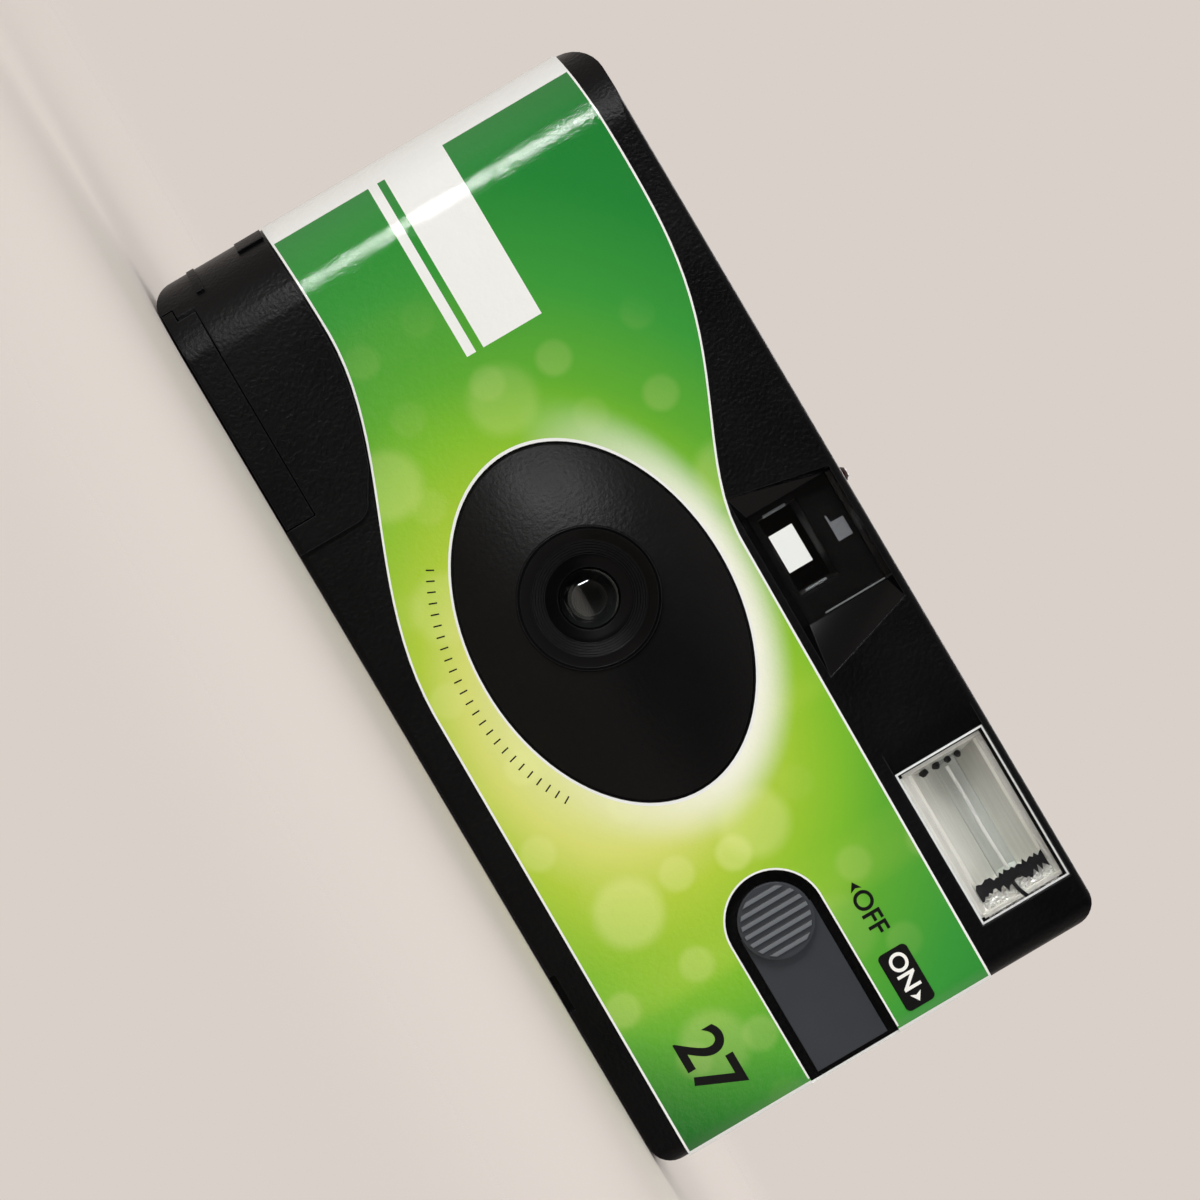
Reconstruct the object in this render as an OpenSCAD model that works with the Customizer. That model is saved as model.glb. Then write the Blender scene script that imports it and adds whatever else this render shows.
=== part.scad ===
// Single-use 35 mm film camera with flash, in millimetres.
// The front looks along -Y, +X is to the right of someone facing it, and it stands on z = 0.

/* [Body] */
// Overall width, over the label on both ends
body_w = 108; // [106:0.5:114]
// Height of the covers
body_h = 53.7; // [53.7:0.1:57]
// Overall depth, from the crest of the lens shroud to the back label
body_d = 34; // [34:0.5:38]
// Wall thickness of the covers
wall = 1.4; // [1.1:0.1:1.6]
// Corner radius at the grip end, seen from above
grip_end_r = 10.5; // [8:0.5:11]
// Front corner radius at the flash end, seen from above
flash_end_r = 2; // [1.8:0.1:3]
// Rear corner radius at the flash end, seen from above
flash_back_r = 4; // [2:0.5:5]
// Upper corner radius at the grip end, seen from the front
grip_top_r = 4; // [2.5:0.5:4]
// The other corner radii, seen from the front
corner_r = 2.8; // [2:0.1:3]
// Radius of the front edges along the top and the bottom
front_edge_r = 0.8; // [0.5:0.1:1]
// Radius of the rear edges along the top and the bottom
rear_edge_r = 2.4; // [1.8:0.1:3]
// Distance from the front face to the joint between the covers
seam_depth = 20.5; // [20:0.5:21]
// How far the grip stands out from the front face
grip_rise = 0.7; // [0.3:0.1:0.8]
// Distance from the grip end to the inner edge of the grip
grip_w = 32.4; // [30:0.2:33]

/* [Label] */
// Thickness of the printed label
label_t = 0.25; // [0.15:0.05:0.3]
// Height of the label's upper edge at the grip end
label_hi = 50.9; // [49:0.1:51]
// Height of the label's upper edge below the finder
label_mid = 41; // [40.5:0.1:41.2]
// Height of the label's lower edge at the grip end
label_lo = 14.4; // [12:0.2:15]
// Height of the label's lower edge below the lens
label_base = 3.6; // [3:0.1:4.5]
// Height of the back label
back_label_h = 33; // [24:1:34]

/* [Lens] */
// Distance from the grip end to the optical axis
lens_from_end = 51.9; // [51:0.1:53]
// Height of the optical axis
lens_z = 24; // [23.6:0.1:24.4]
// Width of the lens shroud
shroud_w = 40.2; // [38:0.2:41]
// Height of the lens shroud
shroud_h = 27.8; // [26:0.2:28]
// Distance of the shroud's middle from the optical axis
shroud_shift = 2.9; // [2:0.1:3.5]
// Rise of the shroud's crest over the front face
shroud_rise = 4.5; // [4.2:0.1:5]
// Outer diameter of the lens ring
ring_d = 15.2; // [14.4:0.2:15.6]
// Diameter of the taking lens
lens_d = 7; // [6.6:0.1:7.4]
// Diameter of the stop
stop_d = 3.2; // [2.6:0.1:3.6]

/* [Film] */
// Diameter of the film cassette
cassette_d = 25; // [24.6:0.1:25]
// Length of the film cassette
cassette_l = 42.8; // [42:0.1:43]
// Width of the film
film_w = 35; // [34.8:0.1:35]
// Thickness of the film
film_t = 0.14; // [0.12:0.01:0.16]
// Pitch of the perforations
perf_pitch = 4.75; // [4.7:0.01:4.8]
// Width of the picture
gate_w = 36; // [34:0.5:36]
// Height of the picture
gate_h = 24; // [22:0.5:24]
// Diameter of the roll of unexposed film
roll_d = 16.3; // [14:0.1:16.4]

/* [Controls] */
// Diameter of the film wheel over its teeth
wheel_d = 27.4; // [26.6:0.1:27.6]
// Thickness of the film wheel
wheel_t = 3; // [2.6:0.1:3.2]
// Teeth on the film wheel
wheel_teeth = 60; // [48:12:72]
// Diameter of the counter disc
counter_d = 14.4; // [13:0.2:14.6]
// Diameter of the shutter button
button_d = 8.4; // [7:0.2:8.6]
// Travel of the shutter button
button_travel = 1.5; // [1:0.1:1.6]
// Diameter of the flash switch knob
knob_d = 8.2; // [7.6:0.1:8.4]
// Travel of the flash switch
switch_travel = 5; // [3:0.5:5]

/* [Flash and battery] */
// Width of the flash window
flash_w = 18.5; // [17:0.5:19]
// Height of the flash window
flash_h = 10.8; // [9.5:0.1:10.8]
// Diameter of the battery
battery_d = 10.5; // [10:0.1:10.5]
// Length of the battery
battery_l = 44.5; // [43:0.5:45]
// Diameter of the flash capacitor
capacitor_d = 9; // [8:0.2:9.4]
// Length of the flash capacitor
capacitor_l = 28; // [24:1:28]

/* [Fits] */
// Radial clearance of a running shaft
running = 0.05; // [0.03:0.01:0.1]
// Gap between pieces that are seated loosely
seat = 0.3; // [0.2:0.05:0.4]
// Gap round a moving panel or a slider
slide_gap = 0.15; // [0.1:0.05:0.25]

/* [Hidden] */
$fn = 64;
cut = 1;

// Faces of the covers
left = -body_w / 2 + label_t;
right = body_w / 2 - label_t;
crest_y = -body_d / 2;
face_y = crest_y + shroud_rise;
back_y = body_d / 2 - label_t;
seam_y = face_y + seam_depth;
inner_left = left + wall;
inner_right = right - wall;
inner_front = face_y + wall;
inner_back = back_y - wall;
inner_top = body_h - wall;

// Optical axis and shroud
lens_x = -body_w / 2 + lens_from_end;
shroud_x = lens_x + shroud_shift;
shroud_barrel_r = 27;
ring_lip = 0.2;
shroud_crest_y = crest_y + ring_lip;
shroud_arc_r = 55;
shroud_wall = 1.3;
plate_y = [face_y + 2.9, face_y + 3.9];
cell_front = face_y + 0.05;
cell_r = lens_d / 2 + 1.7;
blade_y = [plate_y[1] + 0.2, plate_y[1] + 0.5];
tunnel_front = plate_y[1] + 1.2;
tunnel_wall = 0.8;
blade_pivot = [lens_x - 7.4, lens_z + 5.5];
blade_tail = blade_pivot + [-1.6, 3.6];
blade_pin_r = 0.6;
lever_pivot = [lens_x - 11.3, lens_z + 13.9];
lever_tip_r = 0.9;
rocker_pivot = [lens_x - 15.4, lens_z + 14];
pivot_r = 1;

// Cassette, film path and supply roll
cassette_wall = 0.4;
chamber_t = 0.8;
wheel_edge_gap = 0.5;
cassette_x = inner_left + wheel_edge_gap + wheel_d / 2;
wheel_room_r = wheel_d / 2 + seat;
cassette_y = inner_back - seat - cassette_d / 2;
cassette_z = [lens_z - 0.2 - cassette_l / 2, lens_z - 0.2 + cassette_l / 2];
film_y = cassette_y + cassette_d / 2 - 2.3;
film_z = [lens_z - film_w / 2, lens_z + film_w / 2];
perf = [1.98, 2.8];
perf_edge = 2.0;
sprocket_teeth = 8;
sprocket_r = perf_pitch * sprocket_teeth / (2 * PI);
sprocket_tooth_h = 0.85;
sprocket_shaft_r = 1.6;
sprocket_x = lens_x - 15.1;
sprocket_y = film_y - slide_gap - sprocket_r - sprocket_tooth_h;
sprocket_z = [lens_z + gate_h / 2 + 1.4, lens_z + gate_h / 2 + 3.2];
gate_y = [film_y - 1.8, film_y - 0.2];
roll_x = inner_right - 13.85;
roll_y = film_y - 0.1 - roll_d / 2;
roll_chamber_r = roll_d / 2 + 0.9;
core_r = 3.4;
deck_z = [cassette_z[1] + seat, cassette_z[1] + seat + 0.8];
spool_r = 5.7;
drive_r = 3;
wheel_z = [deck_z[1] + 0.2, deck_z[1] + 0.2 + wheel_t];
hub_r = 2.5;
tooth_h = 0.6;
counter_x = sprocket_x + 6.7;
counter_y = sprocket_y - 6.8;
counter_z = [wheel_z[1] - 0.2, wheel_z[1] + 1];
counter_pin_r = 1.5;
counter_read_r = counter_d / 2 - 2.2;
counter_window_r = 3;
counter_axis_gap = norm([counter_x - sprocket_x, counter_y - sprocket_y]);
pawl_pivot = [cassette_x + wheel_d / 2 + 2, cassette_y + 7.5];

// Shutter button
button_x = lens_x - 20.9;
button_y = face_y + 6.3;
button_skirt = wheel_z[1] + button_travel + 0.4;
button_stem_r = 1.4;
stem_z = rocker_pivot[1] + 1.6;
rocker_y = [button_y - 1.1, button_y - 0.3];

// Finder
recess_z = [label_mid + 0.7, body_h - 0.9];
recess_top = [lens_x + 0.7, lens_x + 16.6];
recess_bottom = [lens_x - 1.7, lens_x + 20.1];
recess_depth = 2.2;
pane_x = [lens_x + 1.1, lens_x + 14.2];
pane_z = [label_mid + 1.6, body_h - 1.6];
pane_t = 0.8;
bore_x = [lens_x + 1.9, lens_x + 11.1];
bore_z = [label_mid + 2.4, label_mid + 7.1];
mask_x = [lens_x + 4, lens_x + 8.85];
mask_z = [label_mid + 3.1, label_mid + 6.2];
tube_wall = 0.9;
tube_y = [face_y + 3.9, inner_back - 0.5];
eye_half = [4, 2.6];
eye_x = (mask_x[0] + mask_x[1]) / 2;
eye_z = (mask_z[0] + mask_z[1]) / 2;

// Flash, circuit board and battery
flash_right = body_w / 2 - 5.3;
flash_x = [flash_right - flash_w, flash_right];
flash_z = [body_h - 0.75 - flash_h, body_h - 0.75];
flash_bevel = 2.8;
pane_front = face_y + 0.35;
flash_pane_t = 1.1;
mirror_t = 0.4;
mirror_front = pane_front + flash_pane_t + seat;
mirror_depth = 7;
mirror_x = [flash_x[0] + 1.9, flash_x[1] - 3.9];
mirror_half = flash_h / 2 - 0.7;
mirror_z = (flash_z[0] + flash_z[1]) / 2;
tube_r = 1.3;
tube_axis_y = mirror_front + 4.2;
board_y = [roll_y - roll_chamber_r - 0.8 - 0.3 - 1.2, roll_y - roll_chamber_r - 0.8 - 0.3];
board_x = [lens_x + 14.1, inner_right - 1.4];
board_z = [lens_z - 10, label_mid + 0.5];
tab_x = [board_x[0], flash_x[0] - 3.2];
tab_z = body_h - 2.7;
battery_y = inner_front + seat + battery_d / 2 + 1;
battery_z = wall + seat + battery_d / 2;
battery_x = [lens_x - 18, lens_x - 18 + battery_l];
capacitor_x = lens_x + 22.6;
capacitor_y = board_y[1] + seat + capacitor_d / 2;
capacitor_z = [battery_z + battery_d / 2 + 0.5, battery_z + battery_d / 2 + 0.5 + capacitor_l];
lamp_x = tab_x[0] + 2.6;
pipe_x = lens_x + 2.3;
pipe_y = board_y[1] + 1.4;
pipe_r = 0.9;
pipe_z = bore_z[1] + tube_wall + 0.4;

// Flash switch
knob_x = right - 16.65;
knob_z = lens_z - 0.3;
slot_h = 10.7;
channel_y = face_y + 1.4;
channel_floor = 1;
strip_h = 8.5;
strip_end = right - 0.65;
strip_t = 0.7;
knob_rise = 0.9;
stem_x = [strip_end - 11.5, strip_end - 8.7];
stem_h = 2.6;
foot_y = [channel_y + channel_floor + 0.2, channel_y + channel_floor + 1];

// Film door
door_x = [left + 3.2, left + grip_w - 3];
door_t = 1.2;
door_lift = 0.15;
lip_z = 3.5;
hinge_y = inner_back - 3.6;
hinge_z = door_lift + door_t / 2;

// Points on an arc round c, from angle a to angle b
function arc(c, r, a, b, n) = [for (i = [0:n]) c + r * [cos(a + (b - a) * i / n), sin(a + (b - a) * i / n)]];

// A rectangle with radii r at its lower left, lower right, upper right and upper left corners
function rounded(x, y, r, n = 8) = concat(
    arc([x[0] + r[0], y[0] + r[0]], r[0], 180, 270, n),
    arc([x[1] - r[1], y[0] + r[1]], r[1], 270, 360, n),
    arc([x[1] - r[2], y[1] - r[2]], r[2], 0, 90, n),
    arc([x[0] + r[3], y[1] - r[3]], r[3], 90, 180, n));

function fillet(r, o) = max(r + o, 0.1);

// An ellipse about c
function ellipse(c, w, h, n = 96) = [for (i = [0:n - 1])
    c + [w / 2 * cos(360 * i / n), h / 2 * sin(360 * i / n)]];

// The label's edges, from the distance to the grip end
wave_hi = [12, 55];
wave_lo = [14, 55];
function swing(d, w, p) = (1 + cos(180 * pow((d - w[0]) / (w[1] - w[0]), p))) / 2;
function label_top(d) = d < wave_hi[0] ? label_hi - 0.8 * pow(1 - d / wave_hi[0], 2)
    : d < wave_hi[1] ? label_mid + (label_hi - label_mid) * swing(d, wave_hi, 1.55)
    : label_mid - 0.7 * (d - wave_hi[1]) / (body_w - wave_hi[1]);
function label_bottom(d) = d < wave_lo[0] ? label_lo - 0.6 * pow(1 - d / wave_lo[0], 2)
    : d < wave_lo[1] ? label_base + (label_lo - label_base) * swing(d, wave_lo, 0.95)
    : label_base - 0.3 * (d - wave_lo[1]) / (body_w - wave_lo[1]);
wave_steps = concat([0, 4, 8], [for (d = [12:2:56]) d], [body_w]);

module block(x, y, z) {
    translate([x[0], y[0], z[0]])
        cube([x[1] - x[0], y[1] - y[0], z[1] - z[0]]);
}

module pillar(p, r, z) {
    translate([p[0], p[1], z[0]])
        cylinder(r = r, h = z[1] - z[0]);
}

module pin_y(p, r, y) {
    translate([p[0], y[1], p[1]])
        rotate([90, 0, 0])
            cylinder(r = r, h = y[1] - y[0]);
}

module rod_x(p, r, x) {
    translate([x[0], p[0], p[1]])
        rotate([0, 90, 0])
            cylinder(r = r, h = x[1] - x[0]);
}

// Extrudes an outline drawn in X and Z through the range y
module front_plate(y) {
    translate([0, y[1], 0])
        rotate([90, 0, 0])
            linear_extrude(y[1] - y[0])
                children();
}

// Extrudes an outline drawn in Y and Z through the range x
module side_plate(x) {
    translate([x[0], 0, 0])
        rotate([90, 0, 90])
            linear_extrude(x[1] - x[0])
                children();
}

// A flat bar from p to q with round bosses
module bar(p, q, w, p_r, q_r) {
    d = q - p;
    translate(p)
        rotate(atan2(d[1], d[0]))
            translate([0, -w / 2])
                square([norm(d), w]);
    translate(p)
        circle(p_r);
    translate(q)
        circle(q_r);
}

module plan(o) {
    polygon(rounded([left - o, right + o], [face_y - o, back_y + o],
        [fillet(grip_end_r, o), fillet(flash_end_r, o), fillet(flash_back_r, o), fillet(grip_end_r, o)], 14));
}

module elevation(o) {
    polygon(rounded([left - o, right + o], [-o, body_h + o],
        [fillet(corner_r, o), fillet(corner_r, o), fillet(corner_r, o), fillet(grip_top_r, o)]));
}

module profile(o) {
    polygon(rounded([face_y - o, back_y + o], [-o, body_h + o],
        [fillet(front_edge_r, o), fillet(rear_edge_r, o), fillet(rear_edge_r, o), fillet(front_edge_r, o)], 5));
}

// The outside of the covers, grown by o
module body_solid(o) {
    intersection() {
        translate([0, 0, -o])
            linear_extrude(body_h + 2 * o)
                plan(o);
        front_plate([face_y - o, back_y + o])
            elevation(o);
        side_plate([left - o, right + o])
            profile(o);
    }
}

// The finder's sloping recess, grown by o
module finder_recess(o) {
    hull() {
        front_plate([face_y - 0.6, face_y])
            polygon([[recess_bottom[0] - o, recess_z[0] - o], [recess_bottom[1] + o, recess_z[0] - o],
                [recess_top[1] + o, recess_z[1] + o / 2], [recess_top[0] - o, recess_z[1] + o / 2]]);
        front_plate([face_y + recess_depth + o - 0.1, face_y + recess_depth + o])
            polygon([[pane_x[0] - o, pane_z[0] - o], [pane_x[1] + o, pane_z[0] - o],
                [pane_x[1] + o, pane_z[1] + o / 2], [pane_x[0] - o, pane_z[1] + o / 2]]);
    }
}

// The slot of the flash switch, open at the flash end
module switch_slot(y, o = 0) {
    pin_y([knob_x, knob_z], slot_h / 2 + o, y);
    block([knob_x, right + cut], y, [knob_z - slot_h / 2 - o, knob_z + slot_h / 2 + o]);
}

// The grip's outline, seen from the front
module grip_outline() {
    edge_x = left + grip_w;
    polygon(concat([[left - cut, 0], [edge_x, 0]],
        arc([edge_x - 2.4, label_bottom(grip_w) - 2.6], 2.4, 0, 70, 6),
        [for (i = [12:-1:0]) let (d = 28 * i / 12) [left + d, label_bottom(d) - seat]],
        [[left - cut, label_bottom(0) - seat]]));
}

// The room of the film door and its lip, grown by o
module door_room(o) {
    block([door_x[0] - o, door_x[1] + o], [face_y - grip_rise - cut, hinge_y], [-cut, door_lift + door_t + o]);
    block([door_x[0] - o, door_x[1] + o], [face_y - grip_rise - cut, inner_front + o], [-cut, lip_z + o]);
    rod_x([hinge_y, hinge_z], door_t / 2 + o, [door_x[0] - o, door_x[1] + o]);
    block([door_x[0] - o, door_x[1] + o], [hinge_y - cut, hinge_y + door_t / 2 + o], [-cut, hinge_z]);
}

module front_cover() {
    lamp_hole = pipe_r + slide_gap;
    pry_notch = [4.3, 0.75];
    end_notch = [1.2, 3, 2.9];
    color("#1b1c1e")
    difference() {
        union() {
            difference() {
                union() {
                    intersection() {
                        body_solid(0);
                        block([left - cut, right + cut], [face_y - cut, seam_y - slide_gap / 2],
                            [-cut, body_h + cut]);
                    }
                    intersection() {
                        translate([0, -grip_rise, 0])
                            body_solid(0);
                        front_plate([face_y - cut, cassette_y])
                            grip_outline();
                    }
                }
                body_solid(-wall);
            }
            intersection() {
                finder_recess(1);
                body_solid(-0.2);
            }
            intersection() {
                switch_slot([face_y + 0.2, channel_y + channel_floor], 1);
                body_solid(-0.2);
            }
            pillar([cassette_x, cassette_y], hub_r + 1.5, [wheel_z[1] + seat, inner_top + 0.2]);
        }
        finder_recess(0);
        block(pane_x, [face_y, tube_y[0]], pane_z);
        front_plate([face_y - cut, inner_front + 0.2])
            polygon(ellipse([shroud_x, lens_z], shroud_w - 2 * shroud_wall, shroud_h - 2 * shroud_wall));
        block(flash_x, [face_y - cut, inner_front + 0.2], flash_z);
        translate([0, 0, flash_z[0]])
            linear_extrude(flash_h)
                polygon([[flash_x[0] - flash_bevel, face_y - 0.05], [flash_x[0] + cut, face_y - 0.05],
                    [flash_x[0] + cut, pane_front + 0.3], [flash_x[0], pane_front + 0.3]]);
        switch_slot([face_y - cut, channel_y]);
        block([stem_x[0] - slide_gap, stem_x[1] + switch_travel + slide_gap],
            [channel_y - cut, channel_y + channel_floor + cut],
            [knob_z - stem_h / 2 - slide_gap, knob_z + stem_h / 2 + slide_gap]);
        pillar([cassette_x, cassette_y], hub_r + running, [wheel_z[1], inner_top + 0.2]);
        pillar([cassette_x, cassette_y], wheel_room_r, [wheel_z[0] - seat, wheel_z[1] + seat]);
        pillar([button_x, button_y], button_d / 2 + slide_gap, [inner_top - cut, body_h + cut]);
        pillar([counter_x + counter_read_r, counter_y], counter_window_r, [inner_top - cut, body_h + cut]);
        pillar([pipe_x, pipe_y], lamp_hole, [inner_top - cut, body_h + cut]);
        door_room(slide_gap);
        block([flash_x[0], flash_x[0] + pry_notch[0]], [face_y - cut, inner_front], [-cut, pry_notch[1]]);
        translate([left, cassette_y - end_notch[1], label_lo - 1 - end_notch[2]])
            block([-cut, end_notch[0]], [-end_notch[1] / 2, end_notch[1] / 2], [0, end_notch[2]]);
    }
}

module rear_cover() {
    scoop_w = 18;
    rail_w = 1.6;
    slot_z = [wheel_z[0] - 0.7, wheel_z[1] + 0.7];
    color("#18191b")
    union() {
        difference() {
            intersection() {
                body_solid(0);
                block([left - cut, right + cut], [seam_y + slide_gap / 2, back_y + cut], [-cut, body_h + cut]);
            }
            body_solid(-wall);
            block([eye_x - eye_half[0], eye_x + eye_half[0]], [inner_back - cut, back_y + cut],
                [eye_z - eye_half[1], eye_z + eye_half[1]]);
            side_plate([cassette_x - scoop_w / 2, cassette_x + scoop_w / 2])
                polygon([[inner_back - 0.5, slot_z[0]], [inner_back - 0.5, slot_z[1]],
                    [back_y + cut, slot_z[1] + 2.6], [back_y + cut, slot_z[0] - 3.2]]);
            door_room(slide_gap);
        }
        for (z = [film_z[0] + perf_edge + perf[1] / 2, film_z[1] - perf_edge - perf[1] / 2])
            block([lens_x - gate_w / 2 - 1.5, lens_x + gate_w / 2 + 9],
                [film_y + film_t + seat, inner_back + 0.2], [z - rail_w / 2, z + rail_w / 2]);
    }
}

module main_frame() {
    deck_x = [inner_left + 0.4, bore_x[0] - tube_wall];
    tube_x = [bore_x[0] - tube_wall, bore_x[1] + tube_wall];
    tube_z = [bore_z[0] - tube_wall, bore_z[1] + tube_wall];
    gate_x = [cassette_x + cassette_d / 2 + 1.5, roll_x - roll_chamber_r + 2];
    chamber_r = cassette_d / 2 + 0.4;
    roll_z = [film_z[0] - 1.2, film_z[1] + 1.2];
    color("#2a2b2d")
    difference() {
        union() {
            // Deck above the cassette
            intersection() {
                union() {
                    block(deck_x, [tube_y[0], film_y - 0.5], deck_z);
                    block([deck_x[0], recess_bottom[0] - 1.6], [inner_front + 0.4, tube_y[0] + 0.2], deck_z);
                }
                linear_extrude(body_h)
                    plan(-wall - 0.4);
            }
            // Front half of the cassette chamber
            intersection() {
                difference() {
                    pillar([cassette_x, cassette_y], chamber_r + chamber_t, [cassette_z[0], deck_z[0]]);
                    pillar([cassette_x, cassette_y], chamber_r, [cassette_z[0] - cut, deck_z[1]]);
                }
                block([left, gate_x[0]], [face_y, cassette_y - 1], [0, body_h]);
                linear_extrude(body_h)
                    plan(-wall - 0.2);
            }
            // Film gate
            block(gate_x, gate_y, [film_z[0] - 2, deck_z[1]]);
            // Finder tube
            block(tube_x, tube_y, tube_z);
            // Chamber of the unexposed roll
            intersection() {
                difference() {
                    pillar([roll_x, roll_y], roll_chamber_r + 0.8, [roll_z[0] - 0.8, roll_z[1] + 0.8]);
                    pillar([roll_x, roll_y], roll_chamber_r, roll_z);
                }
                block([gate_x[1] - 4, right], [face_y, gate_y[1]], [0, body_h]);
            }
            // Pins of the counter disc and the pawl
            pillar([counter_x, counter_y], counter_pin_r, [deck_z[0] + 0.2, counter_z[1] + 0.3]);
            pillar(pawl_pivot, pivot_r, [deck_z[0] + 0.2, wheel_z[1]]);
        }
        block([lens_x - gate_w / 2, lens_x + gate_w / 2], [gate_y[0] - cut, gate_y[1] + cut],
            [lens_z - gate_h / 2, lens_z + gate_h / 2]);
        block(bore_x, [tube_y[0] - cut, tube_y[1] - 1], bore_z);
        block(mask_x, [tube_y[0], tube_y[1] + cut], mask_z);
        pillar([cassette_x, cassette_y], spool_r + 0.5, [deck_z[0] - cut, deck_z[1] + cut]);
        pillar([sprocket_x, sprocket_y], sprocket_shaft_r + running, [deck_z[0] - cut, deck_z[1] + cut]);
        pillar([sprocket_x, sprocket_y], sprocket_r + 1.4, [sprocket_z[0] - 0.6, sprocket_z[1] + 0.6]);
        pillar([button_x, button_y], button_stem_r + slide_gap, [deck_z[0] - cut, deck_z[1] + cut]);
        pillar([roll_x, roll_y], counter_pin_r + running, [roll_z[0] - 2, roll_z[1] + 2]);
    }
}

// Stepped black tunnel from the stop to the film gate
module light_tunnel() {
    steps = 6;
    step_l = (gate_y[0] - tunnel_front - 1) / steps;
    near = [4, 3.5];
    far = [gate_w / 2 + 0.4, gate_h / 2 + 0.2];
    color("#141414")
    difference() {
        union()
            for (k = [0:steps - 1]) {
                half = near + (far - near) * (k + 1) / steps + [tunnel_wall, tunnel_wall];
                start = tunnel_front + (k == 0 ? 0 : 1 + k * step_l);
                block([lens_x - half[0], lens_x + half[0]], [start, tunnel_front + 1 + (k + 1) * step_l],
                    [lens_z - half[1], lens_z + half[1]]);
            }
        for (k = [0:steps - 1]) {
            half = near + (far - near) * (k + 1) / steps;
            start = tunnel_front + 1 + (k == 0 ? 0 : k * step_l + tunnel_wall);
            block([lens_x - half[0], lens_x + half[0]],
                [start, tunnel_front + 1 + (k + 1) * step_l + (k == steps - 1 ? cut : 0)],
                [lens_z - half[1], lens_z + half[1]]);
        }
        for (k = [1:steps - 1]) {
            half = near + (far - near) * k / steps;
            block([lens_x - half[0], lens_x + half[0]],
                [tunnel_front + k * step_l, tunnel_front + 1 + k * step_l + tunnel_wall + 0.1],
                [lens_z - half[1], lens_z + half[1]]);
        }
        pin_y([lens_x, lens_z], 2.4, [tunnel_front - cut, tunnel_front + 1 + cut]);
    }
}

// A barrel whose crest lies o in front of the shroud's crest
module shroud_barrel(o) {
    arc_r = shroud_arc_r + o;
    crest_r = shroud_barrel_r + o;
    half = shroud_w / 2 + 1;
    angle = asin(half / arc_r);
    translate([shroud_x, shroud_crest_y + shroud_barrel_r, lens_z])
        rotate([0, 90, 0])
            rotate_extrude($fn = 96)
                polygon(concat([[0, -half], [crest_r - arc_r + arc_r * cos(angle), -half]],
                    arc([crest_r - arc_r, 0], arc_r, -angle, angle, 24),
                    [[0, half]]));
}

module lens_shroud() {
    inner = [shroud_w - 2 * shroud_wall, shroud_h - 2 * shroud_wall];
    color("#1d1e20")
    difference() {
        intersection() {
            shroud_barrel(0);
            front_plate([crest_y - cut, face_y])
                polygon(ellipse([shroud_x, lens_z], shroud_w, shroud_h));
        }
        intersection() {
            shroud_barrel(-shroud_wall);
            front_plate([crest_y - cut, face_y + cut])
                polygon(ellipse([shroud_x, lens_z], inner[0] - 1.2, inner[1] - 1.2));
        }
        pin_y([lens_x, lens_z], ring_d / 2 + running, [crest_y - cut, face_y]);
    }
}

// Black funnel with fine steps in front of the lens
module lens_ring() {
    front = crest_y;
    opening = lens_d / 2 - 0.4;
    grooves = 5;
    groove_r = [4.6, 6];
    groove_y = [front + 1, front + 2.8];
    color("#202124")
    translate([lens_x, 0, lens_z])
        rotate([90, 0, 0])
            rotate_extrude($fn = 96)
                polygon(concat(
                    [[opening, -cell_front], [ring_d / 2, -cell_front], [ring_d / 2, -front],
                        [ring_d / 2 - 0.35, -front]],
                    [for (i = [0:grooves]) each let (
                        r = groove_r[1] + (groove_r[0] - groove_r[1]) * i / grooves,
                        y = groove_y[0] + (groove_y[1] - groove_y[0]) * i / grooves)
                        [[r + 0.14, -y], [r, -y]]],
                    [[opening + 0.25, -groove_y[1] - 0.25], [opening, -groove_y[1] - 0.6]]));
}

module taking_lens() {
    front = cell_front + 0.1;
    front_r = 6;
    rear_r = 9;
    color("#dfe8ee")
    difference() {
        intersection() {
            pin_y([lens_x, lens_z], lens_d / 2, [front, front + 2]);
            translate([lens_x, front + front_r, lens_z])
                sphere(r = front_r);
        }
        translate([lens_x, front + 1.6 + rear_r, lens_z])
            sphere(r = rear_r);
    }
}

// Plate with the stop, the lens cell and the pivots of the shutter
module aperture_plate() {
    plate_x = [lens_x - 19.5, lens_x + 8];
    plate_z = [lens_z - 6.5, lens_z + 15.5];
    slot_x = [blade_tail[0] - 1, blade_tail[0] + 3.4];
    color("#303134")
    difference() {
        union() {
            block(plate_x, plate_y, plate_z);
            pin_y([lens_x, lens_z], cell_r, [cell_front, plate_y[0] + 0.2]);
            pin_y(blade_pivot, pivot_r, [plate_y[1] - 0.2, blade_y[1] + 0.3]);
            pin_y(rocker_pivot, pivot_r, [plate_y[1] - 0.2, rocker_y[1] + 0.3]);
            pin_y(lever_pivot, pivot_r, [plate_y[0] - 1.2, plate_y[0] + 0.2]);
            for (p = [[1.5, -5], [5.6, -4.5], [5.6, 4.3]])
                pin_y([lens_x + p[0], lens_z + p[1]], 0.8, [plate_y[1] - 0.2, tunnel_front]);
        }
        pin_y([lens_x, lens_z], lens_d / 2 + running, [cell_front - cut, cell_front + 2.1]);
        pin_y([lens_x, lens_z], lens_d / 2 - 0.6, [cell_front, plate_y[0]]);
        pin_y([lens_x, lens_z], stop_d / 2, [cell_front, plate_y[1] + cut]);
        block(slot_x, [plate_y[0] - cut, plate_y[1] + cut], [blade_tail[1] - 1, blade_tail[1] + 1.4]);
    }
}

// Thin blade that covers the stop, with a tab that the drive lever strikes
module shutter_blade() {
    color("#0f0f10")
    union() {
        front_plate(blade_y)
            difference() {
                union() {
                    bar(blade_pivot, [lens_x, lens_z], 3.2, 2.2, 3);
                    bar(blade_pivot, blade_tail, 1.8, 2.2, 1.1);
                }
                translate(blade_pivot)
                    circle(pivot_r + running);
            }
        pin_y(blade_tail, blade_pin_r, [plate_y[0] - 0.9, blade_y[0] + 0.1]);
    }
}

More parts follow.
